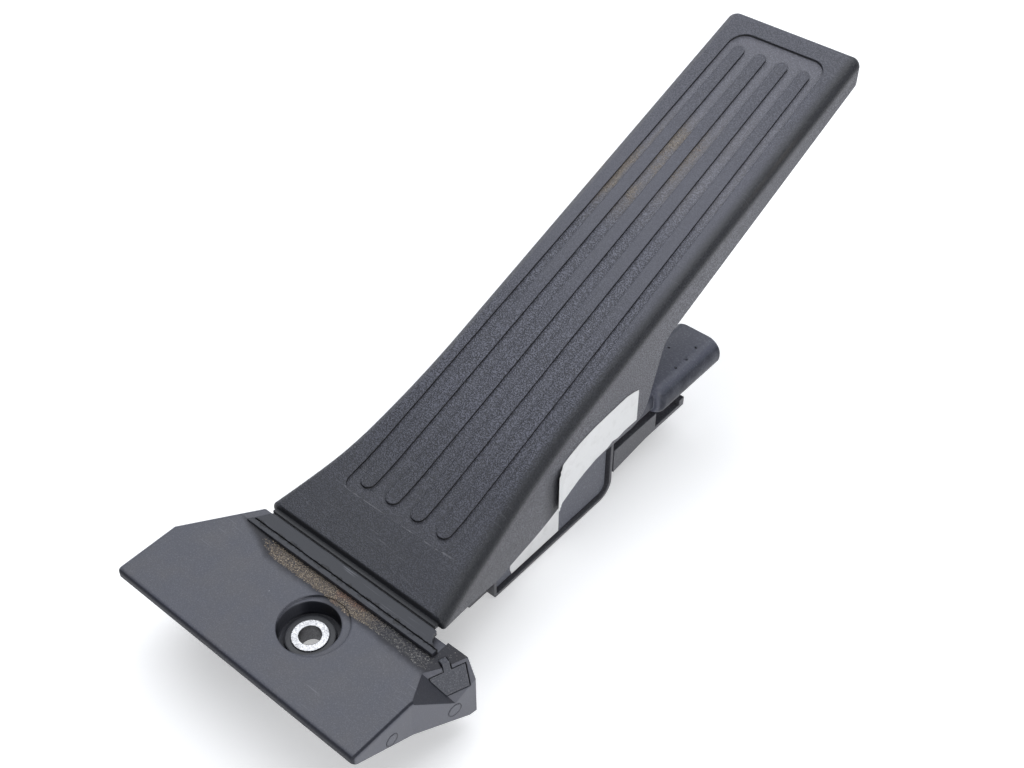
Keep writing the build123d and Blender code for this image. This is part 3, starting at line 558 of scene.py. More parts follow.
def pad_side(tree):
    """How far a point lies inside the pad's nearer long edge, in metres, and one on the right half."""
    x, y, _ = place_values(tree)
    heelward = maths(tree, "MAXIMUM", maths(tree, "SUBTRACT", FLARE_Y * MM, y), 0.0)
    flare = times(tree, heelward, heelward, FLARE_RATE / MM)
    toeward = maths(tree, "MAXIMUM", maths(tree, "SUBTRACT", y, FLARE_Y * MM), 0.0)
    wide = maths(tree, "ADD", PAD_HALF * MM, flare)
    half = maths(tree, "SUBTRACT", wide, times(tree, toeward, TOE_TAPER))
    off = maths(tree, "SUBTRACT", x, PAD_X * MM)
    return maths(tree, "SUBTRACT", half, maths(tree, "ABSOLUTE", off)), spread(tree, off, -0.002, 0.002)


def painted_crease_shade(tree, drop):
    """Painted shade on the rounded edge between tread and right skirt, and a painted shadow by the
    sticker's front end.
    """
    inside, right = pad_side(tree)
    crease = times(tree, spread(tree, inside, 0.0056, 0.0016, smooth=True), right,
                   spread(tree, drop, 0.0050, 0.0016, smooth=True))
    _, y, z = place_values(tree)
    painted_sticker_shadow = times(tree, spread(tree, y, 0.0775, 0.0846, smooth=True), spread(tree, y, 0.0875, 0.0858),
                   spread(tree, z, 0.0230, 0.0150, smooth=True), skirt_side(tree))
    return maths(tree, "MAXIMUM", crease, painted_sticker_shadow)


def painted_step_shade(tree, drop):
    """Painted shade on the steep sides of the ribs and of the sunk panel."""
    _, y, _ = place_values(tree)
    inside, _ = pad_side(tree)
    step = times(tree, spread(tree, drop, 0.00004, 0.00012), spread(tree, drop, 0.00079, 0.00072))
    return times(tree, step, spread(tree, inside, 0.0042, 0.0050), spread(tree, y, 0.2420, 0.2410))


def painted_heel_highlight(tree):
    """A faint painted highlight across the tread where the sunk panel begins, standing for its lit step."""
    where = object_place(tree)
    x, y, _ = axis_values(tree, where)
    off_line = maths(tree, "ABSOLUTE", maths(tree, "SUBTRACT", y, HEEL_LINE_Y * MM))
    line = spread(tree, off_line, 0.00032, 0.00014)
    width = times(tree, spread(tree, x, -0.0285, -0.0235), spread(tree, x, 0.0200, 0.0160))
    broken = spread(tree, noise(tree, where, 420.0, 2.0), 0.40, 0.58)
    return times(tree, line, width, broken)


def skirt_side(tree):
    """One on faces that look right, such as the outer face of the right skirt."""
    facing = facing_values(tree)[0]
    return spread(tree, facing, 0.80, 0.97, smooth=True)


def tread_cover(tree, drop):
    """Dust on the pad: brownish streaks in the valleys of the upper left half."""
    x, y, _ = place_values(tree)
    leaned = maths(tree, "SUBTRACT", y, times(tree, x, DUST_LEAN))
    rise = spread(tree, leaned, 0.158, 0.178, smooth=True)
    along = times(tree, rise, spread(tree, leaned, 0.214, 0.196, smooth=True))
    side = spread(tree, x, 0.008, -0.020, 0.20, 1.0, smooth=True)
    patch = spread(tree, noise(tree, object_place(tree, (1.0, 0.45, 0.45)), 110.0, 3.0), 0.34, 0.56)
    return times(tree, along, side, patch, valley_mask(tree, drop))


# The object's materials

BASE_PALE = colour(0.22, 0.225, 0.26)
# Near black for painted shade in the bolt pocket and along the pad's crease.
PAINTED_SHADE_BLACK = colour(0.006, 0.007, 0.010)


def make_base_material():
    """Smooth satin moulding of the heel base, with painted shade and dust in its band and painted shade in
    its bolt pocket.
    """
    material, tree, shader = start_material("base_plastic", 0.48)
    edges = use_group(tree, EDGES, Width=0.0009, Breakup=0.5)
    marks = use_group(tree, HANDLING, Scratch_density=0.55)
    skin = use_group(tree, GRAIN, Grain_per_metre=2400.0, Fineness=0.6)
    tone = smeared_tone(tree, marks, colour(0.046, 0.049, 0.068), colour(0.062, 0.065, 0.087))
    mottle = spread(tree, noise(tree, object_place(tree), 85.0, 4.0, 0.6), 0.40, 0.64)
    tone = lay_over(tree, tone, mottle, 0.55, colour(0.066, 0.064, 0.074))
    tone = lay_over(tree, tone, skin["Fleck"], 0.24, BASE_PALE)
    # Scratches and nicks are real marks; the pale edges are wear and painted highlight.
    for mark, share in ((edges["Edge"], 0.15), (marks["Scratch"], 0.45), (marks["Nick"], 0.8)):
        tone = lay_over(tree, tone, mark, share, BASE_PALE)
    # Painted light: faces that look right are painted paler, as the lit right wall.
    tone = lay_over(tree, tone, skirt_side(tree), 0.42, colour(0.165, 0.169, 0.195))
    # Painted light on the far left rim and painted shade on the rounded right and front edges, with less
    # specular in the shade.
    shaded, lit = base_edge_shade_and_light(tree)
    tone = lay_over(tree, tone, lit, 0.35, BASE_PALE)
    tone = lay_over(tree, tone, shaded, 0.72, colour(0.012, 0.013, 0.018))
    feed(tree, shader.inputs["Specular IOR Level"], spread(tree, shaded, 0.0, 1.0, 0.5, 0.16))
    # Painted shade in the bolt pocket.
    tone = lay_over(tree, tone, painted_pocket_shade(tree), 0.88, PAINTED_SHADE_BLACK)
    # Painted shade on the sloped band and low block; the same mask also raises the roughness there.
    band_shade_mask = painted_band_shade(tree)
    tone = lay_over(tree, tone, band_shade_mask, 0.68, colour(0.016, 0.015, 0.016))
    x, _, _ = place_values(tree)
    dust = use_group(tree, DUST, Cover=band_cover(tree), Greyness=spread(tree, x, 0.009, 0.018),
                     Grains_per_metre=2700.0)
    tone = blend_colour(tree, dust["Mask"], tone, dust["Colour"])
    rough = smeared_roughness(tree, marks, 0.42, 0.54)
    # Roughness rises under the dust and the shaded band.
    dulling_share = times(tree, maths(tree, "MAXIMUM", dust["Mask"], band_shade_mask), 0.35)
    rough = maths(tree, "ADD", rough, dulling_share, clamp=True)
    normal = bump(tree, skin["Height"], 0.000016, 1.0, edges["Normal"])
    feed(tree, shader.inputs["Base Color"], tone)
    feed(tree, shader.inputs["Roughness"], rough)
    feed(tree, shader.inputs["Normal"], bump(tree, dust["Height"], 0.0003, 1.0, normal))
    return material


def make_strip_material():
    """Smooth hinge strip with a chipped groove, painted shade in that groove and on its front face."""
    material, tree, shader = start_material("strip_plastic", 0.46, specular=0.38)
    edges = use_group(tree, EDGES, Width=0.0004, Breakup=0.6)
    marks = use_group(tree, HANDLING, Scratch_density=0.7)
    skin = use_group(tree, GRAIN, Grain_per_metre=2400.0, Fineness=0.6)
    where = object_place(tree)
    _, y, z = axis_values(tree, where)
    tone = smeared_tone(tree, marks, colour(0.020, 0.022, 0.030), colour(0.030, 0.032, 0.042))
    # Pale edges: wear and painted highlight.
    tone = lay_over(tree, tone, edges["Edge"], 0.5, BASE_PALE)
    tone = lay_over(tree, tone, marks["Scratch"], 0.6, BASE_PALE)
    # Painted shade along the chipped groove; the same mask sinks the groove in the bump.
    off_groove = maths(tree, "ABSOLUTE", maths(tree, "SUBTRACT", y, GROOVE_Y * MM))
    chips = times(tree, maths(tree, "SUBTRACT", noise(tree, where, 520.0, 3.0, 0.7), 0.5), 0.0042)
    near = spread(tree, maths(tree, "SUBTRACT", off_groove, chips), 0.00048, 0.00030)
    tone = lay_over(tree, tone, near, 0.85, colour(0.010, 0.010, 0.012))
    # Painted shade on the strip's low front face.
    side = spread(tree, z, 0.0110, 0.0106)
    tone = lay_over(tree, tone, side, 0.6, colour(0.014, 0.014, 0.016))
    feed(tree, shader.inputs["Base Color"], tone)
    feed(tree, shader.inputs["Roughness"], smeared_roughness(tree, marks, 0.40, 0.52))
    height = maths(tree, "SUBTRACT", times(tree, skin["Height"], 0.1), near)
    feed(tree, shader.inputs["Normal"], bump(tree, height, 0.00008, 1.0, edges["Normal"]))
    return material


def make_pad_material():
    """Grained tread pad: dark at the heel, partly as painted shade on its slope, rubbed smooth and dusty
    towards the toe.
    """
    material, tree, shader = start_material("pad_plastic", 0.5)
    edges = use_group(tree, EDGES, Width=0.0005, Breakup=0.35)
    marks = use_group(tree, HANDLING, Scratch_density=0.3)
    skin = use_group(tree, GRAIN, Grain_per_metre=2300.0, Fineness=0.6)
    where = object_place(tree)
    _, y, _ = axis_values(tree, where)
    drop = tread_drop(tree)
    top = spread(tree, drop, 0.0005, 0.0002)
    valley = valley_mask(tree, drop)
    toeward = spread(tree, y, 0.060, 0.205, smooth=True)
    smooth_top = times(tree, top, spread(tree, y, 0.100, 0.150, smooth=True),
                       spread(tree, y, 0.215, 0.180, 0.35, 1.0), 0.70)
    flange = spread(tree, y, 0.0248, 0.0243)
    grain = maths(tree, "SUBTRACT", 1.0, maths(tree, "MAXIMUM", smooth_top, flange))
    # Darker heel, paler toe: painted shade on the heel's slope, and wear and dust towards the toe.
    dark = blend_colour(tree, toeward, colour(0.008, 0.009, 0.014), colour(0.014, 0.015, 0.024))
    pale = blend_colour(tree, toeward, colour(0.016, 0.017, 0.025), colour(0.032, 0.033, 0.047))
    tone = smeared_tone(tree, marks, dark, pale)
    crisp = spread(tree, noise(tree, where, 2250.0, 1.0, 0.5), 0.47, 0.55)
    fleck = times(tree, maths(tree, "MAXIMUM", skin["Fleck"], crisp), grain,
                  spread(tree, y, 0.036, 0.085, 0.26, 0.90), spread(tree, y, 0.185, 0.235, 1.0, 0.62))
    fleck_tone = blend_colour(tree, toeward, colour(0.110, 0.114, 0.150), colour(0.150, 0.154, 0.195))
    tone = blend_colour(tree, fleck, tone, fleck_tone)
    film = times(tree, valley, spread(tree, y, 0.145, 0.190, 0.04, 0.34, smooth=True))
    tone = blend_colour(tree, film, tone, colour(0.235, 0.233, 0.270))
    tone = lay_over(tree, tone, smooth_top, 0.42, colour(0.150, 0.153, 0.195))
    inside, right = pad_side(tree)
    left_rim = times(tree, spread(tree, inside, 0.0032, 0.0020, smooth=True),
                     maths(tree, "SUBTRACT", 1.0, right), spread(tree, y, 0.040, 0.110, 0.15, 0.45))
    tone = blend_colour(tree, left_rim, tone, colour(0.165, 0.163, 0.170))
    # The right skirt is painted lighter, as a painted reflection of the pale floor, with its own warmer
    # grain.
    skirt_tone_with_painted_light = blend_colour(tree, crisp, colour(0.100, 0.099, 0.108), colour(0.205, 0.202, 0.212))
    tone = lay_over(tree, tone, skirt_side(tree), 0.48, skirt_tone_with_painted_light)
    # Painted shade along the crease and painted shadow by the sticker's front end.
    tone = lay_over(tree, tone, painted_crease_shade(tree, drop), 0.88, PAINTED_SHADE_BLACK)
    # Lighter edges: wear and painted highlight.
    tone = lay_over(tree, tone, edges["Edge"], 0.10, colour(0.150, 0.153, 0.180))
    # Painted shade on the steep sides of ribs and panel.
    tone = lay_over(tree, tone, painted_step_shade(tree, drop), 0.90, colour(0.003, 0.003, 0.004))
    # Scratches are real marks; the line where the sunk panel begins is a painted highlight.
    for mark, share in ((marks["Scratch"], 0.6), (painted_heel_highlight(tree), 0.40)):
        tone = lay_over(tree, tone, mark, share, colour(0.250, 0.252, 0.280))
    tone = lay_over(tree, tone, flange, 0.55, colour(0.014, 0.015, 0.018))
    cover = tread_cover(tree, drop)
    tone = lay_over(tree, tone, cover, 0.40, colour(0.200, 0.165, 0.115))
    dust = use_group(tree, DUST, Cover=cover, Grains_per_metre=2400.0)
    tone = lay_over(tree, tone, dust["Mask"], 0.55, dust["Colour"])
    feed(tree, shader.inputs["Base Color"], tone)
    feed(tree, shader.inputs["Roughness"], smeared_roughness(tree, marks, 0.44, 0.56))
    height = times(tree, maths(tree, "ADD", skin["Height"], crisp), grain)
    normal = bump(tree, height, 0.00007, 1.0, edges["Normal"])
    feed(tree, shader.inputs["Normal"], bump(tree, dust["Height"], 0.0002, 1.0, normal))
    return material


def make_bush_material():
    """Zinc-plated bush: a sparkling rough face and painted shade in its bore."""
    material, tree, shader = start_material("bush_steel", 0.4, 1.0)
    edges = use_group(tree, EDGES, Width=0.0003, Breakup=0.3)
    where = object_place(tree)
    sparkle = noise(tree, where, 2400.0, 2.0, 0.7)
    patches = noise(tree, where, 260.0, 4.0, 0.6)
    glint = spread(tree, sparkle, 0.36, 0.62)
    tone = blend_colour(tree, glint, colour(0.30, 0.30, 0.315), colour(0.62, 0.62, 0.635))
    tone = blend_colour(tree, spread(tree, patches, 0.55, 0.75, 0.0, 0.6), tone, colour(0.20, 0.20, 0.21))
    # Painted shade in the bore.
    painted_bore_shade = spread(tree, bolt_radius(tree), 0.00352, 0.00345)
    tone = lay_over(tree, tone, painted_bore_shade, 0.78, colour(0.05, 0.05, 0.055))
    feed(tree, shader.inputs["Base Color"], tone)
    feed(tree, shader.inputs["Roughness"], spread(tree, patches, 0.3, 0.7, 0.34, 0.52))
    feed(tree, shader.inputs["Normal"], bump(tree, sparkle, 0.00006, 0.7, edges["Normal"]))
    return material


def make_label_material():
    """Blank white sticker, a little crinkled and dirty at its edges."""
    material, tree, shader = start_material("white_sticker", 0.42)
    where = object_place(tree)
    crinkle = noise(tree, where, 130.0, 3.0, 0.5)
    soil = spread(tree, noise(tree, where, 260.0, 4.0, 0.65), 0.52, 0.78)
    tone = blend_colour(tree, times(tree, soil, 0.35), colour(0.80, 0.80, 0.80), colour(0.55, 0.54, 0.52))
    edges = use_group(tree, EDGES, Width=0.0005, Breakup=0.4)
    tone = lay_over(tree, tone, edges["Edge"], 0.4, colour(0.45, 0.44, 0.43))
    feed(tree, shader.inputs["Base Color"], tone)
    feed(tree, shader.inputs["Roughness"], spread(tree, crinkle, 0.3, 0.7, 0.36, 0.50))
    feed(tree, shader.inputs["Normal"], bump(tree, crinkle, 0.0005, 0.6))
    return material


BASE = make_base_material()
STRIP = make_strip_material()
PAD = make_pad_material()
STICKER = make_label_material()
HOUSING = moulded_plastic(
    "housing_plastic", (0.050, 0.051, 0.060), (0.068, 0.069, 0.080), (0.20, 0.20, 0.215), 0.42,
    grain=(1900.0, 0.00001), edge_width=0.0005, scratch=0.4)
COVER = moulded_plastic(
    "cover_plastic", (0.070, 0.074, 0.096), (0.088, 0.092, 0.118), (0.26, 0.27, 0.30), 0.45,
    grain=(1900.0, 0.00001), edge_width=0.0005, scratch=0.5)
SHROUD = moulded_plastic(
    "shroud_plastic", (0.098, 0.104, 0.138), (0.122, 0.128, 0.166), (0.26, 0.27, 0.31), 0.36,
    grain=(1500.0, 0.00003), edge_width=0.0006, scratch=0.3, painted_shade=painted_shroud_flank_shade)
LEVER = moulded_plastic(
    "lever_plastic", (0.060, 0.060, 0.064), (0.085, 0.085, 0.088), (0.16, 0.16, 0.16), 0.5,
    grain=(1400.0, 0.00002), edge_width=0.0004, scratch=0.3)
ACETAL = moulded_plastic(
    "acetal", (0.62, 0.60, 0.54), (0.72, 0.70, 0.64), (0.80, 0.78, 0.73), 0.38,
    grain=(1800.0, 0.00001), edge_width=0.0004, scratch=0.3)
FRICTION = moulded_plastic(
    "friction_plastic", (0.20, 0.17, 0.13), (0.27, 0.24, 0.18), (0.36, 0.32, 0.26), 0.5,
    grain=(1500.0, 0.00002), edge_width=0.0004, scratch=0.5)
RUBBER = moulded_plastic(
    "stop_rubber", (0.020, 0.020, 0.021), (0.032, 0.032, 0.033), (0.08, 0.08, 0.08), 0.75,
    grain=(1300.0, 0.00004), edge_width=0.0005, scratch=0.1)
MAGNET = moulded_plastic(
    "bonded_magnet", (0.045, 0.044, 0.044), (0.07, 0.068, 0.068), (0.16, 0.16, 0.16), 0.6,
    grain=(1600.0, 0.00003), edge_width=0.0003, scratch=0.2)
BOARD = moulded_plastic(
    "coated_board", (0.012, 0.075, 0.030), (0.018, 0.105, 0.045), (0.10, 0.22, 0.12), 0.3,
    grain=(1200.0, 0.00001), edge_width=0.0003, scratch=0.2)
CHIP = moulded_plastic(
    "chip_package", (0.018, 0.018, 0.019), (0.028, 0.028, 0.03), (0.09, 0.09, 0.09), 0.5,
    grain=(2200.0, 0.00001), edge_width=0.0002, scratch=0.1)
BUSH = make_bush_material()
CLIP = moulded_plastic(
    "clip_plastic", (0.034, 0.036, 0.048), (0.048, 0.050, 0.064), (0.22, 0.225, 0.25), 0.46,
    grain=(2200.0, 0.00001), edge_width=0.0005, scratch=0.6)
SCREW = worked_metal("screw_steel", (0.62, 0.61, 0.58), 0.28, 0.45)
SHAFT = worked_metal("shaft_steel", (0.66, 0.66, 0.67), 0.18, 0.30)
FILM = moulded_plastic(
    "film_plastic", (0.012, 0.012, 0.014), (0.022, 0.022, 0.025), (0.06, 0.06, 0.065), 0.6,
    grain=(1500.0, 0.00004), edge_width=0.0002, scratch=0.2)
WIRE = worked_metal("spring_wire", (0.36, 0.36, 0.38), 0.28, 0.42)
PIN = worked_metal("pin_metal", (0.74, 0.68, 0.55), 0.22, 0.36)

FINISHES = {
    "base": BASE,
    "floor_bolt_bush": BUSH,
    "hinge_strip": STRIP,
    "end_clip": CLIP,
    "base_screws": SCREW,
    "pad": PAD,
    "housing": HOUSING,
    "side_cover": COVER,
    "connector_shroud": SHROUD,
    "connector_terminals": PIN,
    "upper_bolt_bush": BUSH,
    "pivot_shaft": SHAFT,
    "shaft_ring": SCREW,
    "lever_arm": LEVER,
    "slide_shoe": ACETAL,
    "spring_seat": ACETAL,
    "outer_spring": WIRE,
    "inner_spring": WIRE,
    "friction_shoe": FRICTION,
    "full_stop_bumper": RUBBER,
    "rest_stop_bumper": RUBBER,
    "magnet_ring": MAGNET,
    "sensor_board": BOARD,
    "hall_chips": CHIP,
}

for node_name, finish in FINISHES.items():
    nodes[node_name].data.materials.clear()
    nodes[node_name].data.materials.append(finish)


# New pieces

def deselect():
    bpy.ops.object.select_all(action="DESELECT")


def settle(piece, name, material):
    """Names a finished piece, gives it its material and puts its place into its mesh."""
    deselect()
    piece.select_set(True)
    bpy.context.view_layer.objects.active = piece
    bpy.ops.object.transform_apply(location=True, rotation=True, scale=True)
    piece.name = name
    piece.data.name = name
    piece.data.materials.clear()
    piece.data.materials.append(material)
    return piece


def pick(piece, test):
    """Selects the vertices in edit mode whose place passes a test."""
    bpy.ops.mesh.select_mode(type="VERT")
    shape = bmesh.from_edit_mesh(piece.data)
    for vert in shape.verts:
        vert.select_set(bool(test(vert.co)))
    shape.select_flush(True)
    bmesh.update_edit_mesh(piece.data)


def pick_faces(piece, test):
    """Selects the faces in edit mode that pass a test."""
    bpy.ops.mesh.select_mode(type="FACE")
    shape = bmesh.from_edit_mesh(piece.data)
    for face in shape.faces:
        face.select_set(bool(test(face)))
    bmesh.update_edit_mesh(piece.data)


def apply_modifier(piece, kind, **settings):
    made = piece.modifiers.new(kind.lower(), kind)
    for name, value in settings.items():
        setattr(made, name, value)
    bpy.context.view_layer.objects.active = piece
    bpy.ops.object.modifier_apply(modifier=made.name)


def slice_across(normal, places):
    """Cuts the mesh in edit mode on parallel planes."""
    for place in places:
        bpy.ops.mesh.select_all(action="SELECT")
        point = [place * n for n in normal]
        bpy.ops.mesh.bisect(plane_co=point, plane_no=normal, use_fill=False)


def start_sheet(columns, rows, place, length, height):
    """A flat grid that faces right, left in edit mode."""
    deselect()
    bpy.ops.mesh.primitive_grid_add(x_subdivisions=columns, y_subdivisions=rows, size=1.0)
    sheet = bpy.context.object
    sheet.scale = (length * MM, height * MM, 1.0)
    sheet.rotation_euler = (math.radians(90), 0, math.radians(90))
    sheet.location = [value * MM for value in place]
    bpy.ops.object.transform_apply(location=True, rotation=True, scale=True)
    bpy.ops.object.mode_set(mode="EDIT")
    return sheet


def make_film_web():
    """The thin web between strip and pad, thinned and creased along its bending line."""
    deselect()
    middle_x = (WEB_X[0] + WEB_X[1]) / 2 * MM
    length = WEB_X[1] - WEB_X[0]
    bpy.ops.mesh.primitive_cube_add(size=1.0, location=(middle_x, HINGE_Y * MM, HINGE_Z * MM))
    web = bpy.context.object
    web.scale = (length * MM, WEB_WIDE * MM, WEB_THICK * MM)
    bpy.ops.object.transform_apply(location=True, rotation=True, scale=True)
    bpy.ops.object.mode_set(mode="EDIT")
    slice_across((0, 1, 0), [(HINGE_Y + step) * MM for step in (-0.2, 0.0, 0.2)])
    slice_across((1, 0, 0), [(WEB_X[0] + length * step / WEB_CUTS) * MM for step in range(1, WEB_CUTS)])
    pick(web, lambda co: abs(co.y - HINGE_Y * MM) < 0.05 * MM and co.z > HINGE_Z * MM)
    bpy.ops.transform.translate(value=(0, 0, -WEB_CREASE * MM))
    pick(web, lambda co: abs(co.y - HINGE_Y * MM) < 0.25 * MM)
    bpy.ops.transform.vertex_random(offset=0.05 * MM, seed=4)
    bpy.ops.object.mode_set(mode="OBJECT")
    settle(web, "film_hinge_web", FILM)
    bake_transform(web)


def make_skirt_label():
    """A blank sticker on the right skirt, its front end lifting off a little."""
    columns = len(LABEL_STATIONS) - 1
    first_y, last_y = LABEL_STATIONS[0][0], LABEL_STATIONS[-1][0]
    middle = (LABEL_START_X, (first_y + last_y) / 2, 0)
    label = start_sheet(columns, LABEL_ROWS, middle, last_y - first_y, 1.0)
    step = (last_y - first_y) / columns
    for index, (place, low, high) in enumerate(LABEL_STATIONS):
        column_y = (first_y + step * index) * MM
        pick(label, lambda co: abs(co.y - column_y) < step * MM / 4)
        bpy.ops.transform.resize(value=(1, 1, high - low), center_override=(0, column_y, 0))
        bpy.ops.transform.translate(value=(0, place * MM - column_y, (low + high) / 2 * MM))
    bpy.ops.mesh.select_all(action="SELECT")
    bpy.ops.mesh.subdivide(number_cuts=2, smoothness=0.0)
    bpy.ops.object.mode_set(mode="OBJECT")
    apply_modifier(label, "SHRINKWRAP", target=nodes["pad"], wrap_method="PROJECT", use_project_x=True,
                   use_project_y=False, use_project_z=False, use_negative_direction=True,
                   use_positive_direction=False, offset=LABEL_GAP * MM)
    bpy.ops.object.mode_set(mode="EDIT")
    for reach, lift in LABEL_LIFTS:
        pick(label, lambda co: co.y < (first_y + reach) * MM)
        bpy.ops.transform.translate(value=(lift * MM, 0, 0))
    bpy.ops.mesh.select_all(action="SELECT")
    bpy.ops.transform.vertex_random(offset=0.02 * MM, seed=7)
    bpy.ops.object.mode_set(mode="OBJECT")
    apply_modifier(label, "SOLIDIFY", thickness=LABEL_THICK * MM, offset=1.0)
    bpy.ops.object.shade_smooth_by_angle(angle=math.radians(40))
    settle(label, "skirt_label", STICKER)
    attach(label, "pad")


def make_housing_label():
    """A blank sticker on the side cover, partly behind the skirt."""
    (front, rear), (low, high) = COVER_LABEL_Y, COVER_LABEL_Z
    middle = (COVER_FACE_X + 0.04, (front + rear) / 2, (low + high) / 2)
    label = start_sheet(10, LABEL_ROWS, middle, rear - front, high - low)
    pick(label, lambda co: co.y < (front + 0.1) * MM and co.z < (low + 0.1) * MM)
    bpy.ops.transform.translate(value=(0.15 * MM, 0.6 * MM, 0.25 * MM))
    bpy.ops.mesh.select_all(action="SELECT")
    bpy.ops.transform.vertex_random(offset=0.015 * MM, seed=2)
    bpy.ops.object.mode_set(mode="OBJECT")
    apply_modifier(label, "SUBSURF", subdivision_type="SIMPLE", levels=2, render_levels=2)
    apply_modifier(label, "SOLIDIFY", thickness=LABEL_THICK * MM, offset=1.0)
    settle(label, "cover_label", STICKER)
    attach(label, "module")


def make_spring(name, node, outside, wire, turns):
    """A coil of round wire between the housing's floor and the seat."""
    deselect()
    radius = (outside - wire) / 2 * MM
    bpy.ops.mesh.primitive_circle_add(vertices=WIRE_SIDES, radius=wire / 2 * MM, location=(radius, 0, 0),
                                      rotation=(math.radians(90), 0, 0))
    coil = bpy.context.object
    bpy.ops.object.transform_apply(location=True, rotation=True, scale=True)
    rise = (SPRING_TOP_Z - SPRING_FLOOR_Z - wire) * MM
    steps = round(STEPS_PER_TURN * turns)
    apply_modifier(coil, "SCREW", axis="Z", angle=2 * math.pi * turns, screw_offset=rise, steps=steps,
                   render_steps=steps)
    bpy.ops.object.mode_set(mode="EDIT")
    bpy.ops.mesh.select_all(action="SELECT")
    bpy.ops.mesh.remove_doubles(threshold=1e-6)
    bpy.ops.mesh.fill_holes(sides=20)
    bpy.ops.mesh.normals_make_consistent(inside=False)
    bpy.ops.object.mode_set(mode="OBJECT")
    bpy.ops.object.shade_smooth_by_angle(angle=math.radians(40))
    coil.location = (SPRING_AT[0] * MM, SPRING_AT[1] * MM, (SPRING_FLOOR_Z + wire / 2) * MM)
    settle(coil, name, WIRE)
    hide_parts(node)
    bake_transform(coil)


def make_ejector_mark(name, place, normal, radius):
    """A round ejector mark: a shallow dished disc with a raised edge."""
    deselect()
    turn = Vector(normal).to_track_quat("Z", "Y").to_euler()
    bpy.ops.mesh.primitive_cylinder_add(vertices=36, radius=radius * MM, depth=0.2 * MM)
    mark = bpy.context.object
    bpy.ops.object.mode_set(mode="EDIT")
    bpy.ops.mesh.select_all(action="DESELECT")
    pick_faces(mark, lambda face: face.normal.z > 0.9)
    bpy.ops.mesh.inset(thickness=0.22 * MM)
    bpy.ops.transform.translate(value=(0, 0, -0.08 * MM))
    bpy.ops.mesh.inset(thickness=0.15 * MM)
    bpy.ops.transform.translate(value=(0, 0, 0.03 * MM))
    bpy.ops.object.mode_set(mode="OBJECT")
    mark.rotation_euler = turn
    mark.location = [value * MM for value in place]
    settle(mark, name, BASE)
    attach(mark, "module")


def make_shroud_bump(name, place, radius):
    """A small round pip on the plug shroud."""
    deselect()
    bpy.ops.mesh.primitive_cylinder_add(vertices=16, radius=radius * MM, depth=0.6 * MM)
    pip = bpy.context.object
    bpy.ops.object.mode_set(mode="EDIT")
    pick(pip, lambda co: co.z > 0)
    bpy.ops.transform.resize(value=(0.7, 0.7, 1.0))
    bpy.ops.mesh.bevel(offset=0.2 * MM, segments=2, affect="EDGES")
    bpy.ops.object.mode_set(mode="OBJECT")
    bpy.ops.object.shade_smooth_by_angle(angle=math.radians(50))
    pip.location = [value * MM for value in place]
    settle(pip, name, SHROUD)
    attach(pip, "module")


def make_base_screw(name, place):
    """A pan-head screw with a six-lobe recess under the tongue, its shank running up into the base."""
    deselect()
    bpy.ops.mesh.primitive_cylinder_add(
        vertices=SCREW_SIDES, radius=SCREW_HEAD_R * MM, depth=SCREW_HEAD * MM)
    screw = bpy.context.object
    half = SCREW_HEAD / 2 * MM
    bpy.ops.object.mode_set(mode="EDIT")
    pick_faces(screw, lambda face: face.normal.z > 0.9)
    bpy.ops.mesh.inset(thickness=(SCREW_HEAD_R - SCREW_SHANK_R) * MM)
    bpy.ops.mesh.extrude_region_move(TRANSFORM_OT_translate={"value": (0, 0, SCREW_REACH * MM)})
    pick_faces(screw, lambda face: face.normal.z < -0.9 and face.calc_center_median().z < 0)
    bpy.ops.mesh.inset(thickness=0.9 * MM)
    bpy.ops.transform.translate(value=(0, 0, -0.25 * MM))
    bpy.ops.mesh.inset(thickness=1.0 * MM)
    pick(screw, lambda co: co.z < -half and math.hypot(co.x, co.y) < (SCREW_HEAD_R - 1.7) * MM
         and round(math.atan2(co.y, co.x) / (2 * math.pi / SCREW_SIDES)) % 4 in (0, 1))
    bpy.ops.transform.resize(value=(0.72, 0.72, 1.0), center_override=(0, 0, 0))
    pick_faces(screw, lambda face: face.normal.z < -0.9
               and face.calc_center_median().to_2d().length < 0.1 * MM)
    bpy.ops.mesh.extrude_region_move(TRANSFORM_OT_translate={"value": (0, 0, 1.3 * MM)})
    bpy.ops.object.mode_set(mode="OBJECT")
    bpy.ops.object.shade_smooth_by_angle(angle=math.radians(35))
    screw.location = [value * MM for value in place]
    return settle(screw, name, SCREW)


def make_base_screws():
    """The two screws that hold the base to the housing's tongue, as one piece."""
    first, second = [make_base_screw("base_screw", (x, SCREW_Y, SCREW_HEAD_Z)) for x in SCREW_XS]
    deselect()
    second.select_set(True)
    first.select_set(True)
    bpy.context.view_layer.objects.active = first
    bpy.ops.object.join()
    first.name = "base_screw_pair"
    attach(first, "module")
    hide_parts("base_screws")


make_film_web()
make_skirt_label()
make_housing_label()
make_spring("outer_spring_wire", "outer_spring", *OUTER_SPRING)
make_spring("inner_spring_wire", "inner_spring", *INNER_SPRING)
make_base_screws()
for index, (mark_place, mark_normal, mark_radius) in enumerate(EJECTOR_MARKS):
    make_ejector_mark("ejector_mark_%d" % (index + 1), mark_place, mark_normal, mark_radius)
for index, (pip_place, pip_radius) in enumerate(SHROUD_PIPS):
    make_shroud_bump("shroud_pip_%d" % (index + 1), pip_place, pip_radius)


# Studio

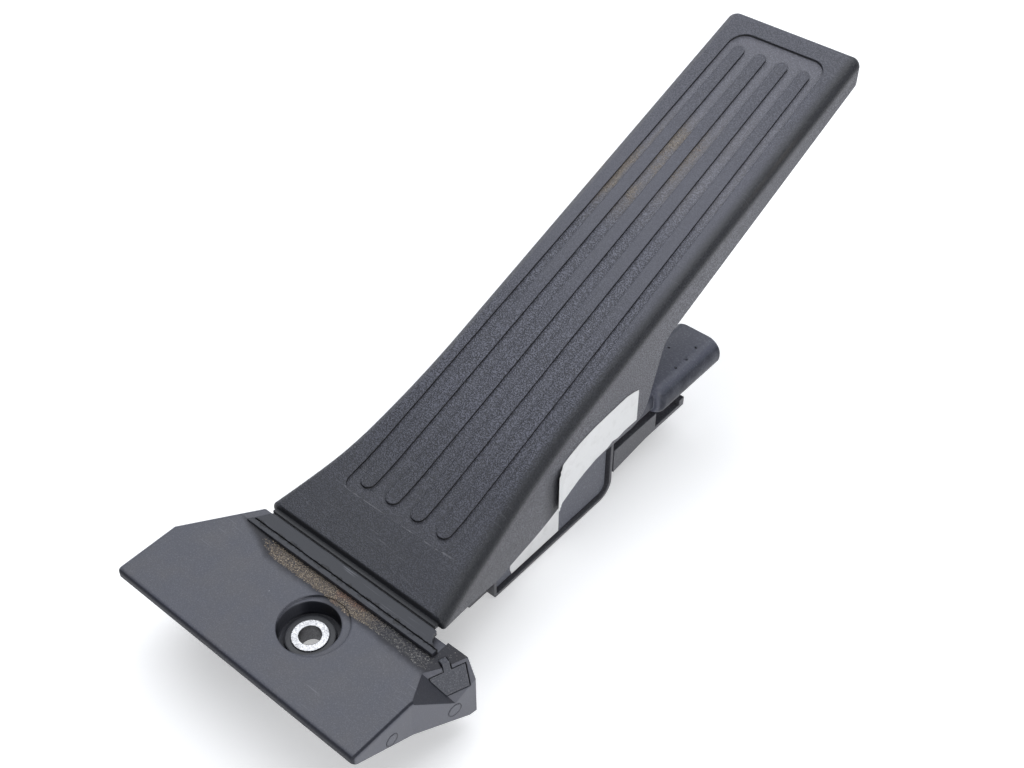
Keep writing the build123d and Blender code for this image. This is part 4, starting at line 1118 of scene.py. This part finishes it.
def make_floor():
    """A plain pale floor that keeps the soft shadow and shows white."""
    deselect()
    bpy.ops.mesh.primitive_plane_add(size=6.0, location=(0, 0, cad_low.z))
    floor = bpy.context.object
    floor.name = "studio_floor"
    bpy.ops.object.transform_apply(location=True, rotation=True, scale=True)
    material, tree, shader = start_material("studio_white", 0.8, specular=0.1)
    shader.inputs["Base Color"].default_value = colour(0.86, 0.86, 0.87)
    path = new_node(tree, "ShaderNodeLightPath")
    seen = maths(tree, "MAXIMUM", path.outputs["Is Camera Ray"],
                 maths(tree, "MAXIMUM", path.outputs["Is Glossy Ray"], path.outputs["Is Transmission Ray"]))
    shader.inputs["Emission Color"].default_value = colour(1.0, 1.0, 1.0)
    feed(tree, shader.inputs["Emission Strength"], times(tree, seen, 0.34))
    floor.data.materials.append(material)


def make_lamp(name, place, target, size, power, tint=(1.0, 1.0, 1.0)):
    light = bpy.data.lights.new(name, "AREA")
    light.shape = "RECTANGLE"
    light.size, light.size_y = size
    light.energy = power
    light.color = tint
    lamp = bpy.data.objects.new(name, light)
    bpy.context.scene.collection.objects.link(lamp)
    lamp.location = place
    lamp.rotation_euler = (Vector(target) - Vector(place)).to_track_quat("-Z", "Y").to_euler()


def make_world():
    world = bpy.data.worlds.new("studio_world")
    bpy.context.scene.world = world
    world.use_nodes = True
    background = world.node_tree.nodes["Background"]
    background.inputs["Color"].default_value = colour(0.88, 0.94, 1.0)
    background.inputs["Strength"].default_value = 0.20


def make_camera():
    camera = bpy.data.objects.new("photo_camera", bpy.data.cameras.new("photo_camera"))
    bpy.context.scene.collection.objects.link(camera)
    camera.location = CAMERA_PLACE
    camera.rotation_euler = (math.radians(90.0 - CAMERA_DOWN), 0.0, math.radians(CAMERA_TURN))
    camera.data.sensor_width = SENSOR_WIDTH
    camera.data.lens = SENSOR_WIDTH * FOCAL_PIXELS / PHOTO_PIXELS
    camera.data.clip_start = 0.01
    camera.data.clip_end = 20.0
    bpy.context.scene.camera = camera


make_floor()
make_lamp("overhead", (-0.40, 0.60, 1.45), (0.0, 0.1, 0.0), (2.2, 2.2), 35.0, (0.955, 0.975, 1.0))
make_lamp("side_fill", (1.05, -0.50, 0.50), (0.0, 0.1, 0.02), (0.8, 0.8), 8.0)
make_world()
make_camera()
bpy.context.scene.view_settings.view_transform = "Standard"
